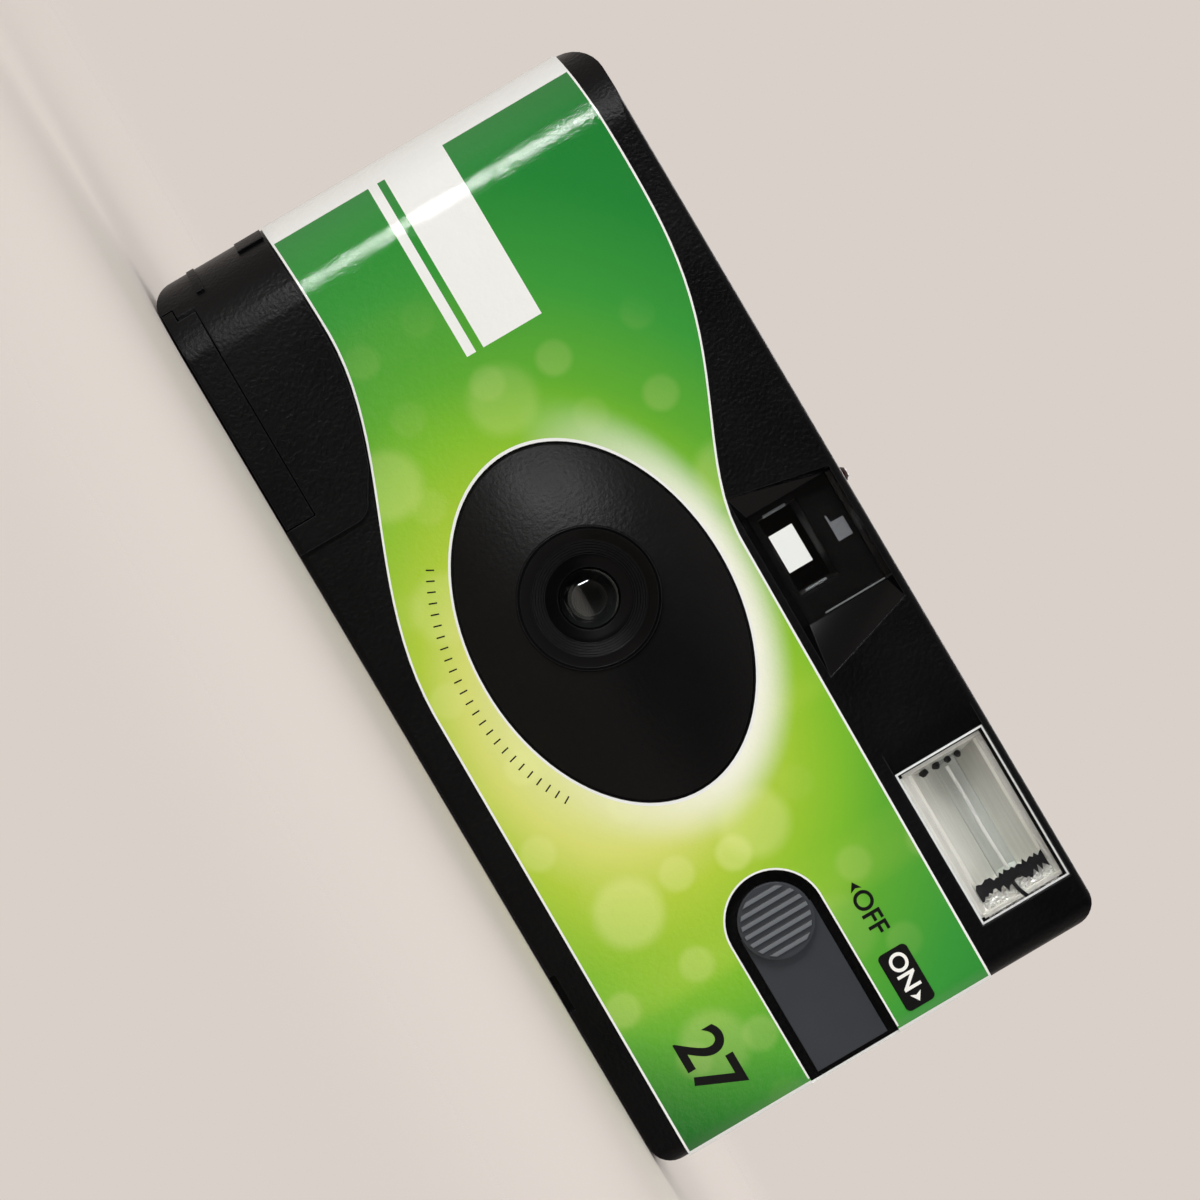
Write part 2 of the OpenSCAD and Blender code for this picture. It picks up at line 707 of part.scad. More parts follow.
// Sprung lever in front of the plate that kicks the blade's tab
module drive_lever() {
    lever_y = [plate_y[0] - 0.9, plate_y[0] - 0.2];
    tip = blade_tail - [blade_pin_r + lever_tip_r + seat, 0.2];
    arm = lever_pivot + [-3.5, 1];
    color("#c9b37a")
    front_plate(lever_y)
        difference() {
            union() {
                bar(lever_pivot, tip, 1.4, 1.8, lever_tip_r);
                bar(lever_pivot, arm, 1.4, 1.8, 1);
            }
            translate(lever_pivot)
                circle(pivot_r + running);
        }
}

// Coil round the lever's pivot with one leg on the plate
module lever_spring() {
    spring_y = [plate_y[0] - 1.35, plate_y[0] - 1.0];
    color("#b9bcc0")
    difference() {
        union() {
            pin_y(lever_pivot, pivot_r + 0.55, spring_y);
            block([lever_pivot[0] + 0.9, lever_pivot[0] + 5], spring_y,
                [lever_pivot[1] + 1, lever_pivot[1] + 1.4]);
        }
        pin_y(lever_pivot, pivot_r + running, [spring_y[0] - cut, spring_y[1] + cut]);
    }
}

// Rocker that the button's stem pushes
module release_rocker() {
    color("#d8d8d2")
    front_plate(rocker_y)
        difference() {
            union() {
                bar(rocker_pivot, [button_x, rocker_pivot[1] + 0.2], 1.6, 2, 1.2);
                bar(rocker_pivot, rocker_pivot + [4.5, -0.6], 1.4, 2, 0.9);
            }
            translate(rocker_pivot)
                circle(pivot_r + running);
        }
}

module shutter_button() {
    dish_r = 22;
    color("#26272a")
    difference() {
        union() {
            pillar([button_x, button_y], button_d / 2, [button_skirt, body_h]);
            pillar([button_x, button_y], button_stem_r, [stem_z, button_skirt + 0.2]);
        }
        translate([button_x, button_y, body_h - 0.35 + dish_r])
            sphere(r = dish_r);
    }
}

// Sleeve that stands for the return spring round the stem
module button_spring() {
    color("#b9bcc0")
    difference() {
        pillar([button_x, button_y], button_stem_r + 0.9, [deck_z[1], button_skirt]);
        pillar([button_x, button_y], button_stem_r + 0.3, [deck_z[1] - cut, button_skirt + cut]);
    }
}

// Toothed wheel whose shaft turns the cassette's spool
module film_wheel() {
    tooth = 360 / wheel_teeth;
    tip_r = wheel_d / 2;
    color("#2c2d30")
    union() {
        difference() {
            translate([cassette_x, cassette_y, wheel_z[0]])
                linear_extrude(wheel_t)
                    polygon([for (i = [0:wheel_teeth - 1]) each [
                        tip_r * [cos(tooth * i), sin(tooth * i)],
                        tip_r * [cos(tooth * (i + 0.3)), sin(tooth * (i + 0.3))],
                        (tip_r - tooth_h) * [cos(tooth * (i + 0.5)), sin(tooth * (i + 0.5))],
                        (tip_r - tooth_h) * [cos(tooth * (i + 0.8)), sin(tooth * (i + 0.8))]]]);
            difference() {
                pillar([cassette_x, cassette_y], tip_r - 2.6, [wheel_z[1] - 1, wheel_z[1] + cut]);
                pillar([cassette_x, cassette_y], hub_r + 2.2, [wheel_z[1] - 2, wheel_z[1] + 2]);
            }
        }
        pillar([cassette_x, cassette_y], hub_r, [wheel_z[1] - 0.2, inner_top - 0.2]);
        pillar([cassette_x, cassette_y], drive_r, [cassette_z[1] - 4, wheel_z[0] + 0.2]);
    }
}

// Pawl whose tip stands over a gap between two teeth and drops into it
module wheel_pawl() {
    gap_angle = 360 / wheel_teeth * 0.58;
    tip_r = 0.16;
    tip_at = wheel_d / 2 + slide_gap + tip_r;
    aim = [cos(gap_angle), sin(gap_angle)];
    root = [cassette_x, cassette_y] + tip_at * aim;
    pad = [cassette_x, cassette_y] + (tip_at + 1) * aim;
    color("#d8d8d2")
    difference() {
        translate([0, 0, wheel_z[0] + 0.3])
            linear_extrude(1.4) {
                bar(pawl_pivot, pad, 1, 1.8, 0.6);
                bar(pad, root, 2 * tip_r, 0.3, tip_r);
            }
        pillar(pawl_pivot, pivot_r + running, [wheel_z[0], wheel_z[1]]);
    }
}

// Film sprocket with its shaft and the finger that steps the counter
module sprocket() {
    tooth_w = 1.3;
    finger_angle = 200;
    finger_r = counter_axis_gap - counter_d / 2 - 0.3;
    color("#e4e3dc")
    union() {
        pillar([sprocket_x, sprocket_y], sprocket_r - 0.3, sprocket_z);
        intersection() {
            pillar([sprocket_x, sprocket_y], sprocket_r + sprocket_tooth_h, sprocket_z);
            for (i = [0:sprocket_teeth - 1])
                translate([sprocket_x, sprocket_y, 0])
                    rotate(90 + 360 / sprocket_teeth * i)
                        block([0, sprocket_r + 2], [-tooth_w / 2, tooth_w / 2], sprocket_z);
        }
        pillar([sprocket_x, sprocket_y], sprocket_shaft_r, [sprocket_z[1] - 0.2, counter_z[1]]);
        translate([sprocket_x, sprocket_y, 0])
            rotate(finger_angle)
                block([0, finger_r], [-0.5, 0.5], counter_z);
    }
}

module counter_disc() {
    counter_steps = 36;
    color("#f0efe8")
    difference() {
        pillar([counter_x, counter_y], counter_d / 2, counter_z);
        pillar([counter_x, counter_y], counter_pin_r + running, [counter_z[0] - cut, counter_z[1] + cut]);
        for (i = [0:counter_steps - 1])
            translate([counter_x, counter_y, 0])
                rotate(360 / counter_steps * i)
                    pillar([counter_d / 2 + 0.25, 0], 0.5, [counter_z[0] - cut, counter_z[1] + cut]);
    }
}

module counter_window() {
    window_r = counter_window_r - running;
    color("#e8eef2")
    intersection() {
        pillar([counter_x + counter_read_r, counter_y], window_r, [inner_top, body_h]);
        translate([counter_x + counter_read_r, counter_y, body_h - 20])
            sphere(r = 20);
    }
}

// Steel shell with a lip for the film
module film_cassette() {
    lip_end = cassette_x + cassette_d / 2 + 0.9;
    lip_y = [film_y - 0.7, film_y + film_t + 0.7];
    inner_r = cassette_d / 2 - cassette_wall;
    color("#50545a")
    difference() {
        union() {
            pillar([cassette_x, cassette_y], cassette_d / 2, cassette_z);
            block([cassette_x + 3, lip_end], lip_y, [film_z[0] - 0.6, film_z[1] + 0.6]);
        }
        pillar([cassette_x, cassette_y], inner_r, [cassette_z[0] + 0.8, cassette_z[1] - 0.8]);
        block([cassette_x, lip_end + cut], [film_y - 0.15, film_y + film_t + 0.15],
            [film_z[0] - 0.2, film_z[1] + 0.2]);
        pillar([cassette_x, cassette_y], spool_r + running, [cassette_z[0] - cut, cassette_z[1] + cut]);
    }
}

module cassette_spool() {
    color("#1f1f20")
    difference() {
        union() {
            pillar([cassette_x, cassette_y], spool_r, [cassette_z[0] - 0.4, cassette_z[0] + 1.6]);
            pillar([cassette_x, cassette_y], spool_r - 0.7, [cassette_z[0] + 1.4, cassette_z[1] - 1.4]);
            pillar([cassette_x, cassette_y], spool_r, [cassette_z[1] - 1.6, cassette_z[1] + 0.1]);
        }
        pillar([cassette_x, cassette_y], drive_r + 0.2, [cassette_z[1] - 4.5, cassette_z[1] + cut]);
    }
}

module film_strip() {
    strip_x = [cassette_x + cassette_d / 2 - 4, roll_x];
    last = floor((strip_x[1] - sprocket_x) / perf_pitch) - 1;
    color("#5a4a3c")
    difference() {
        block(strip_x, [film_y, film_y + film_t], film_z);
        for (i = [-1:last])
            for (z = [film_z[0] + perf_edge, film_z[1] - perf_edge - perf[1]])
                block([sprocket_x + perf_pitch * i - perf[0] / 2, sprocket_x + perf_pitch * i + perf[0] / 2],
                    [film_y - cut, film_y + cut], [z, z + perf[1]]);
    }
}

module supply_spool() {
    color("#1f1f20")
    union() {
        pillar([roll_x, roll_y], core_r, [film_z[0] - 0.9, film_z[1] + 0.9]);
        pillar([roll_x, roll_y], counter_pin_r, [film_z[0] - 2, film_z[1] + 2]);
    }
}

module film_roll() {
    color("#5a4a3c")
    difference() {
        pillar([roll_x, roll_y], roll_d / 2, film_z);
        pillar([roll_x, roll_y], core_r + 0.1, [film_z[0] - cut, film_z[1] + cut]);
    }
}

// Flap under the cassette, with a lip at the front and a rounded edge at its thin hinge
module film_door() {
    lip_y = [face_y - grip_rise + 0.1, inner_front - 0.2];
    color("#1b1c1e")
    intersection() {
        union() {
            block(door_x, [lip_y[0], hinge_y], [door_lift, door_lift + door_t]);
            block(door_x, lip_y, [door_lift, lip_z]);
            rod_x([hinge_y, hinge_z], door_t / 2, door_x);
        }
        translate([0, -grip_rise, 0])
            body_solid(0);
    }
}

module finder_window() {
    front = face_y + recess_depth + 0.1;
    color("#cfd6da")
    block([pane_x[0] + running, pane_x[1] - running], [front, front + pane_t],
        [pane_z[0] + running, pane_z[1] - running]);
}

module finder_lens() {
    front = tube_y[0];
    curve_r = 24;
    color("#dfe8ee")
    difference() {
        block([bore_x[0] + running, bore_x[1] - running], [front, front + 1.6],
            [bore_z[0] + running, bore_z[1] - running]);
        translate([(bore_x[0] + bore_x[1]) / 2, front + 1 + curve_r, (bore_z[0] + bore_z[1]) / 2])
            sphere(r = curve_r, $fn = 256);
    }
}

module eyepiece() {
    x = [eye_x - eye_half[0] + running, eye_x + eye_half[0] - running];
    z = [eye_z - eye_half[1] + running, eye_z + eye_half[1] - running];
    color("#dfe8ee")
    union() {
        block(x, [inner_back - 0.2, back_y - 0.3], z);
        block([x[0] - 0.6, x[1] + 0.6], [tube_y[1] + 0.1, inner_back - 0.1], [z[0] - 0.5, z[1] + 0.5]);
    }
}

module flash_window() {
    x = [flash_x[0] + running, flash_x[1] - running];
    z = [flash_z[0] + running, flash_z[1] - running];
    color("#dde4e8")
    union() {
        block(x, [pane_front, inner_front], z);
        block([x[0] - 1.2, x[1] + 1.2], [inner_front, pane_front + flash_pane_t + 0.25],
            [z[0] - 0.6, inner_top - 0.1]);
    }
}

// Bright trough behind the window, with slanted end walls
module flash_reflector() {
    steps = 10;
    back = mirror_front + mirror_depth;
    function trough(h) = [for (i = [-steps:steps]) let (t = i / steps)
        [back - mirror_depth * t * t, mirror_z + h * t]];
    inner = trough(mirror_half - mirror_t);
    color("#c9cdd2")
    union() {
        intersection() {
            side_plate([mirror_x[0] - 3, mirror_x[1] + 5])
                difference() {
                    polygon([for (p = trough(mirror_half)) p + [0.35, 0]]);
                    polygon(concat(inner, [[mirror_front - cut, mirror_z + mirror_half - mirror_t],
                        [mirror_front - cut, mirror_z - mirror_half + mirror_t]]));
                }
            linear_extrude(body_h)
                polygon([[mirror_x[0] - 1 - mirror_t, mirror_front], [mirror_x[1] + 3 + mirror_t, mirror_front],
                    [mirror_x[1] + mirror_t, back], [mirror_x[1] + mirror_t, back + 1],
                    [mirror_x[0] - mirror_t, back + 1], [mirror_x[0] - mirror_t, back]]);
        }
        for (side = [0, 1])
            intersection() {
                linear_extrude(body_h)
                    polygon(side == 0
                        ? [[mirror_x[0] - 1, mirror_front], [mirror_x[0] - 1 - mirror_t, mirror_front],
                            [mirror_x[0] - mirror_t, back], [mirror_x[0], back]]
                        : [[mirror_x[1] + 3, mirror_front], [mirror_x[1] + 3 + mirror_t, mirror_front],
                            [mirror_x[1] + mirror_t, back], [mirror_x[1], back]]);
                side_plate([mirror_x[0] - 3, mirror_x[1] + 5])
                    polygon(trough(mirror_half));
                difference() {
                    block([left, right], [face_y, back_y], [0, body_h]);
                    rod_x([tube_axis_y, mirror_z], tube_r + 0.2, [mirror_x[0] - 5, mirror_x[1] + 5]);
                }
            }
    }
}

module flash_tube() {
    reach = [mirror_x[0] - 2.2, mirror_x[1] + 3.4];
    color("#eef2f4")
    union() {
        rod_x([tube_axis_y, mirror_z], tube_r, reach);
        rod_x([tube_axis_y, mirror_z], 0.4, [reach[0] - 1.5, reach[1] + 1.3]);
    }
}

module circuit_board() {
    color("#7a5c2e")
    union() {
        block(board_x, board_y, board_z);
        block(tab_x, board_y, [board_z[1] - 0.2, tab_z]);
    }
}

module flash_capacitor() {
    color("#22252b")
    union() {
        pillar([capacitor_x, capacitor_y], capacitor_d / 2, capacitor_z);
        pillar([capacitor_x, capacitor_y], capacitor_d / 2 - 1, [capacitor_z[0] - 0.3, capacitor_z[1]]);
    }
}

module flash_transformer() {
    x = [tab_x[1] - 7.6, tab_x[1] - 0.4];
    z = [tab_z - 8.5, tab_z - 1.1];
    color("#4a3b2a")
    union() {
        block(x, [board_y[1], board_y[1] + 6.4], z);
        pin_y([(x[0] + x[1]) / 2, (z[0] + z[1]) / 2], 2.6, [board_y[1] + 6.2, board_y[1] + 7.2]);
    }
}

module neon_lamp() {
    color("#ffb070")
    rod_x([pipe_y, pipe_z + 0.9], 1.2, [lamp_x, lamp_x + 4]);
}

// Light pipe from the neon lamp to the top edge
module lamp_pipe() {
    bend = [pipe_x, lamp_x - 0.1];
    color("#ff9a3c")
    union() {
        block([bend[0] - 0.6, bend[1]], [pipe_y - 0.6, pipe_y + 0.6], [pipe_z, pipe_z + 1.3]);
        pillar([pipe_x, pipe_y], pipe_r, [pipe_z, body_h - 0.2]);
        intersection() {
            pillar([pipe_x, pipe_y], pipe_r, [body_h - 0.4, body_h + 0.3]);
            translate([pipe_x, pipe_y, body_h + 0.3 - 1.6])
                sphere(r = 1.6);
        }
    }
}

// Contact leaf beside the blade's open position
module sync_contact() {
    x = [lens_x + 3, lens_x + 9];
    color("#c8a86a")
    union() {
        block(x, [plate_y[1], plate_y[1] + 0.3], [lens_z + 9, lens_z + 11]);
        block([x[1] - 0.3, x[1]], [plate_y[1], plate_y[1] + 2], [lens_z + 9, lens_z + 11]);
    }
}

// Strip with a ribbed knob that slides in the slot
module flash_switch() {
    rib_pitch = 1.02;
    rib_w = 0.45;
    rib_h = 0.3;
    strip_y = [channel_y - slide_gap - strip_t, channel_y - slide_gap];
    top = face_y - knob_rise;
    color("#3a3d42")
    union() {
        block([knob_x, strip_end], strip_y, [knob_z - strip_h / 2, knob_z + strip_h / 2]);
        pin_y([knob_x, knob_z], knob_d / 2, [top + rib_h, strip_y[1]]);
        intersection() {
            pin_y([knob_x, knob_z], knob_d / 2 - 0.35, [top, top + rib_h + 0.2]);
            for (i = [-3:3])
                block([knob_x + rib_pitch * i - rib_w / 2, knob_x + rib_pitch * i + rib_w / 2],
                    [top, top + rib_h + 0.2], [knob_z - knob_d, knob_z + knob_d]);
        }
        block(stem_x, [strip_y[1] - 0.2, foot_y[1]], [knob_z - stem_h / 2, knob_z + stem_h / 2]);
        block([stem_x[0] - 0.6, stem_x[1] + 0.6], foot_y, [knob_z - stem_h, knob_z + stem_h]);
    }
}

module switch_contact() {
    color("#c8a86a")
    block([stem_x[0] - 1, stem_x[1] + switch_travel - 1], [board_y[0] - 0.4, board_y[0]],
        [knob_z - 1, knob_z + 1]);
}

module battery() {
    tip = [1.9, 1];
    color("#2f6f4a")
    union() {
        rod_x([battery_y, battery_z], battery_d / 2, [battery_x[0], battery_x[1] - tip[1]]);
        rod_x([battery_y, battery_z], tip[0], [battery_x[1] - tip[1] - 0.2, battery_x[1]]);
    }
}

module battery_spring() {
    plate_x = [battery_x[0] - 1.6, battery_x[0] - 1.2];
    color("#b9bcc0")
    union() {
        block(plate_x, [battery_y - 4, battery_y + 4], [wall + 0.1, battery_z + 4.5]);
        rod_x([battery_y, battery_z], 3, [plate_x[1] - 0.1, battery_x[0] - 0.1]);
    }
}

module battery_plate() {
    plate_x = [battery_x[1] + 0.1, battery_x[1] + 0.5];
    color("#b9bcc0")
    block(plate_x, [battery_y - 4, battery_y + 4], [wall + 0.1, battery_z + 4.5]);
}

// Printed label over the front and both ends
module front_label() {
    wrap_y = back_y - grip_end_r;
    hole = 0.35;
    color("#57ad33")
    difference() {
        intersection() {
            difference() {
                linear_extrude(body_h)
                    plan(label_t);
                translate([0, 0, -cut])
                    linear_extrude(body_h + 2 * cut)
                        plan(0);
            }
            front_plate([face_y - cut, wrap_y])
                polygon(concat(
                    [for (d = wave_steps) [d - body_w / 2, label_bottom(d)]],
                    [for (i = [len(wave_steps) - 1:-1:0])
                        [wave_steps[i] - body_w / 2, label_top(wave_steps[i])]]));
        }
        front_plate([face_y - cut, face_y + 0.3])
            polygon(ellipse([shroud_x, lens_z], shroud_w + 2 * hole, shroud_h + 2 * hole));
        switch_slot([face_y - cut, channel_y]);
    }
}

module back_label() {
    half_w = body_w / 2 - grip_end_r - 2;
    low = (body_h - back_label_h) / 2 - 3.4;
    color("#57ad33")
    front_plate([back_y, back_y + label_t])
        polygon(rounded([-half_w, half_w], [low, low + back_label_h], [3, 3, 3, 3]));
}

front_cover();
rear_cover();
main_frame();
light_tunnel();
lens_shroud();
lens_ring();
taking_lens();
aperture_plate();
shutter_blade();
drive_lever();
lever_spring();
release_rocker();
shutter_button();
button_spring();
film_wheel();
wheel_pawl();
sprocket();
counter_disc();
counter_window();
film_cassette();
cassette_spool();
film_strip();
supply_spool();
film_roll();
film_door();
finder_window();
finder_lens();
eyepiece();
flash_window();
flash_reflector();
flash_tube();
circuit_board();
flash_capacitor();
flash_transformer();
neon_lamp();
lamp_pipe();
sync_contact();
flash_switch();
switch_contact();
battery();
battery_spring();
battery_plate();
front_label();
back_label();
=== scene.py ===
import math
import random

import bmesh
import bpy
from mathutils import Matrix, Vector


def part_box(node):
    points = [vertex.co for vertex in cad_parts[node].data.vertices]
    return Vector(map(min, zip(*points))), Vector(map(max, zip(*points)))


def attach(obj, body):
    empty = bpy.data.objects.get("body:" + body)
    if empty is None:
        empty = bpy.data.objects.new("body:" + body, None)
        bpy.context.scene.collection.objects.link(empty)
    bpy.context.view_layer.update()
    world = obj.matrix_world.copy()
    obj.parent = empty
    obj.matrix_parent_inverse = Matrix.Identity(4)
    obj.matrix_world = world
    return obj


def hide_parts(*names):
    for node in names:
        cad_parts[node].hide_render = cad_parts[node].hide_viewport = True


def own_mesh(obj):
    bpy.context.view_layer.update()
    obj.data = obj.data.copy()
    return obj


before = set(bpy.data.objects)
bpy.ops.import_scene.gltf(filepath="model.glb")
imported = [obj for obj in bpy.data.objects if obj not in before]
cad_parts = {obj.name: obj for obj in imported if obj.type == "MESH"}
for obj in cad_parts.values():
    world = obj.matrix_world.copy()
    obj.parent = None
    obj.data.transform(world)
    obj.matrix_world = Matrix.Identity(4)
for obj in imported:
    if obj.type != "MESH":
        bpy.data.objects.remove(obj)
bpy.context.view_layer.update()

# Main frame and light tunnel: the inner mouldings that carry the film and shade it from the sides.
# They are black polystyrene, left matt by an etched mould so that stray light dies on them.
# Both are held between the covers, and only the finder's tube shows, through the window in front of it.

mm = 0.001
black, off_black = "#030304", "#060607"
shallow_fold = math.radians(26)


def linear(tone):
    """An sRGB hex colour as the linear colour that a shader takes."""
    parts = [int(tone[i:i + 2], 16) / 255 for i in (1, 3, 5)]
    return [p / 12.92 if p <= 0.04045 else ((p + 0.055) / 1.055) ** 2.4 for p in parts] + [1.0]


def plug(tree, node, sources):
    """Fills a node's sockets from values, sockets or nodes. A node gives its first output in use."""
    for socket, source in sources.items():
        if isinstance(source, bpy.types.Node):
            source = next(output for output in source.outputs if output.enabled)
        if isinstance(source, bpy.types.NodeSocket):
            tree.links.new(source, node.inputs[socket])
        else:
            node.inputs[socket].default_value = source


def add(tree, kind, sources=None, **settings):
    """Adds a node, gives it its settings, and fills its sockets."""
    made = tree.nodes.new(kind)
    for name, value in settings.items():
        setattr(made, name, value)
    plug(tree, made, sources or {})
    return made


def works(material):
    """A material's tree, its shader and its object coordinates."""
    nodes = material.node_tree.nodes
    return material.node_tree, nodes["Principled BSDF"], nodes["Texture Coordinate"].outputs["Object"]


def start(name):
    """A new material, with its tree, its shader and its object coordinates."""
    material = bpy.data.materials.new(name)
    material.use_nodes = True
    add(material.node_tree, "ShaderNodeTexCoord")
    return material, *works(material)


def moulded(name, tone, pale, gloss, grain_mm, relief_mm, edge_mm=0.12, specular=0.5):
    """A moulded or coated surface: a tone that drifts as the melt or the coat flowed, a fine grain,
    and rounded edges. The grain is drawn coarser than a real one, so that it shows."""
    material, tree, skin, place = start(name)
    flow_mm = 11
    grain = add(tree, "ShaderNodeTexNoise", {"Vector": place, "Scale": 1 / (grain_mm * mm), "Detail": 4.0})
    flow = add(tree, "ShaderNodeTexNoise", {"Vector": place, "Scale": 1 / (flow_mm * mm), "Detail": 3.0})
    tint = add(tree, "ShaderNodeMix", {0: flow, 6: linear(tone), 7: linear(pale)}, data_type="RGBA")
    shine = add(tree, "ShaderNodeMapRange", {0: flow, 1: 0.3, 2: 0.7, 3: gloss - 0.05, 4: gloss + 0.05})
    edge = add(tree, "ShaderNodeBevel", {"Radius": edge_mm * mm}, samples=6)
    relief = add(tree, "ShaderNodeBump", {"Height": grain, "Normal": edge, "Strength": 1.0,
                                          "Distance": relief_mm * mm})
    plug(tree, skin, {"Base Color": tint, "Roughness": shine, "Normal": relief,
                      "Specular IOR Level": specular})
    return material


def growing_tree(name, inputs):
    """A geometry tree that is still empty, and the outputs of its input node."""
    tree = bpy.data.node_groups.new(name, "GeometryNodeTree")
    tree.interface.new_socket("Geometry", in_out="OUTPUT", socket_type="NodeSocketGeometry")
    for label, kind in inputs.items():
        tree.interface.new_socket(label, in_out="INPUT", socket_type="NodeSocket" + kind)
    return tree, add(tree, "NodeGroupInput").outputs


def smoothing_tree():
    """Joins the loose triangles of a moulding and shades its shallow folds as one curve."""
    tree, given = growing_tree("smooth_shallow_folds", {"Geometry": "Geometry", "Fold": "Float"})
    whole = add(tree, "GeometryNodeMergeByDistance", {"Geometry": given["Geometry"], "Distance": 1e-6})
    bare = add(tree, "GeometryNodeRemoveAttribute", {"Geometry": whole, "Name": "custom_normal"})
    soft = add(tree, "GeometryNodeSetShadeSmooth", {"Geometry": bare, "Shade Smooth": True})
    fold = add(tree, "GeometryNodeInputMeshEdgeAngle").outputs["Unsigned Angle"]
    shallow = add(tree, "FunctionNodeCompare", {0: fold, 1: given["Fold"]}, operation="LESS_THAN")
    creased = add(tree, "GeometryNodeSetShadeSmooth", {"Geometry": soft, "Shade Smooth": shallow},
                  domain="EDGE")
    add(tree, "NodeGroupOutput", {0: creased})
    return tree


smooth_shallow_folds = smoothing_tree()


def finish(material, *names):
    """Gives CAD nodes their finish, and shades their curves smoothly."""
    fold = next(socket for socket in smooth_shallow_folds.interface.items_tree if socket.name == "Fold")
    for name in names:
        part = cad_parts[name]
        part.data.materials.clear()
        part.data.materials.append(material)
        smooth = part.modifiers.new("smooth_shallow_folds", "NODES")
        smooth.node_group = smooth_shallow_folds
        smooth[fold.identifier] = shallow_fold
        part.modifiers.new("flat_faces_stay_flat", "WEIGHTED_NORMAL").keep_sharp = True


matt_polystyrene = moulded("black_polystyrene_matt", black, off_black, gloss=0.6, grain_mm=0.3,
                           relief_mm=0.01, specular=0.08)
finish(matt_polystyrene, "main_frame", "light_tunnel")

# Shutter plate and blade: the plate is moulded with the lens cell, the stop and the pivots.
# The blade is a stamped sheet of steel in matt black lacquer, thin enough to be thrown open by a light lever.
# Both lie behind the lens, where they make it look black.

finish(matt_polystyrene, "aperture_plate")
black_lacquer = moulded("black_lacquer_on_steel", black, off_black, gloss=0.45, grain_mm=0.6, relief_mm=0.004,
                        edge_mm=0.05, specular=0.1)
finish(black_lacquer, "shutter_blade")

# Drive lever, rocker and springs: the works that throw the blade, on the plate's pivots.
# The lever and the contacts are brass stampings, the rocker, pawl and sprocket are white acetal,
# and the springs are drawn steel wire.


def metal(name, tone, pale, gloss, streak_mm, stretch, metallic=1.0):
    """Bare metal with the streaks of its drawing or rolling, along the least stretched axis.
    They are drawn coarser than real ones, so that they show."""
    material, tree, skin, place = start(name)
    streak_relief_mm = 0.01
    turned = add(tree, "ShaderNodeMapping", {"Vector": place, "Scale": stretch})
    streak = add(tree, "ShaderNodeTexNoise", {"Vector": turned, "Scale": 1 / (streak_mm * mm), "Detail": 5.0})
    tint = add(tree, "ShaderNodeMix", {0: streak, 6: linear(tone), 7: linear(pale)}, data_type="RGBA")
    shine = add(tree, "ShaderNodeMapRange", {0: streak, 1: 0.3, 2: 0.7, 3: gloss * 0.8, 4: gloss * 1.2})
    relief = add(tree, "ShaderNodeBump", {"Height": streak, "Strength": 0.4,
                                          "Distance": streak_relief_mm * mm})
    plug(tree, skin, {"Base Color": tint, "Roughness": shine, "Normal": relief, "Metallic": metallic})
    return material


brass = metal("rolled_brass", "#b58b3c", "#cfa95a", gloss=0.3, streak_mm=0.5, stretch=(1, 1, 0.12))
finish(brass, "drive_lever", "sync_contact", "switch_contact")
acetal = moulded("white_acetal", "#dcdad0", "#e8e6dd", gloss=0.36, grain_mm=0.5, relief_mm=0.006)
finish(acetal, "release_rocker", "wheel_pawl", "sprocket")
spring_wire = metal("drawn_spring_steel", "#9a9da2", "#c2c5c9", gloss=0.24, streak_mm=0.3,
                    stretch=(1, 1, 0.3))
finish(spring_wire, "lever_spring")

# Taking lens: one meniscus of clear acrylic, pressed into the plate's cell.
# Moulded acrylic is as smooth as glass, with a trace of haze, and the black stop behind it makes it dark.


def clear(name, tone, haze, ior=1.49, transmission=1.0):
    """Clear plastic or glass, with a trace of haze from handling that varies over a few millimetres.
    It lets lamps light what is behind it."""
    material, tree, skin, place = start(name)
    smear_mm = 6
    smear = add(tree, "ShaderNodeTexNoise", {"Vector": place, "Scale": 1 / (smear_mm * mm), "Detail": 2.0})
    shine = add(tree, "ShaderNodeMapRange", {0: smear, 1: 0.35, 2: 0.75, 3: haze * 0.4, 4: haze})
    plug(tree, skin, {"Base Color": linear(tone), "Roughness": shine, "IOR": ior,
                      "Transmission Weight": transmission})
    shade = add(tree, "ShaderNodeBsdfTransparent", {"Color": linear(tone)})
    ray = add(tree, "ShaderNodeLightPath").outputs["Is Shadow Ray"]
    both = add(tree, "ShaderNodeMixShader", {0: ray, 1: skin, 2: shade})
    plug(tree, tree.nodes["Material Output"], {"Surface": both})
    return material


lens_acrylic = clear("clear_acrylic_lens", "#f8fffc", haze=0.02)
finish(lens_acrylic, "taking_lens")

# Film cassette, its spool and the film: a standard 35 mm load.
# The cassette is tinned steel sheet in plain black enamel with bare rolled ends, the spools are black
# polystyrene, and the film is brown acetate with a glossy back.

enamel = moulded("black_enamel_on_tinplate", "#16171a", "#1e1f23", gloss=0.28, grain_mm=2.0, relief_mm=0.002)
finish(enamel, "film_cassette")


def box_mm(node):
    """A CAD node's lowest and highest corners, in millimetres."""
    return [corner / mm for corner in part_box(node)]


def highest(tree, values):
    """The highest of several values, in a shader."""
    top = values[0]
    for value in values[1:]:
        top = add(tree, "ShaderNodeMath", {0: top, 1: value}, operation="MAXIMUM")
    return top


def inside_box(tree, place, low, high):
    """1 inside a box given by its corners in millimetres, and 0 outside it."""
    low, high = Vector(low) * mm, Vector(high) * mm
    boxed = add(tree, "ShaderNodeMapping", {"Vector": place, "Location": (low + high) / 2,
                                            "Scale": (high - low) / 2}, vector_type="TEXTURE")
    away = add(tree, "ShaderNodeVectorMath", {0: boxed}, operation="ABSOLUTE")
    sides = add(tree, "ShaderNodeSeparateXYZ", {0: away}).outputs
    return add(tree, "ShaderNodeMath", {0: highest(tree, list(sides)), 1: 1.0}, operation="LESS_THAN")


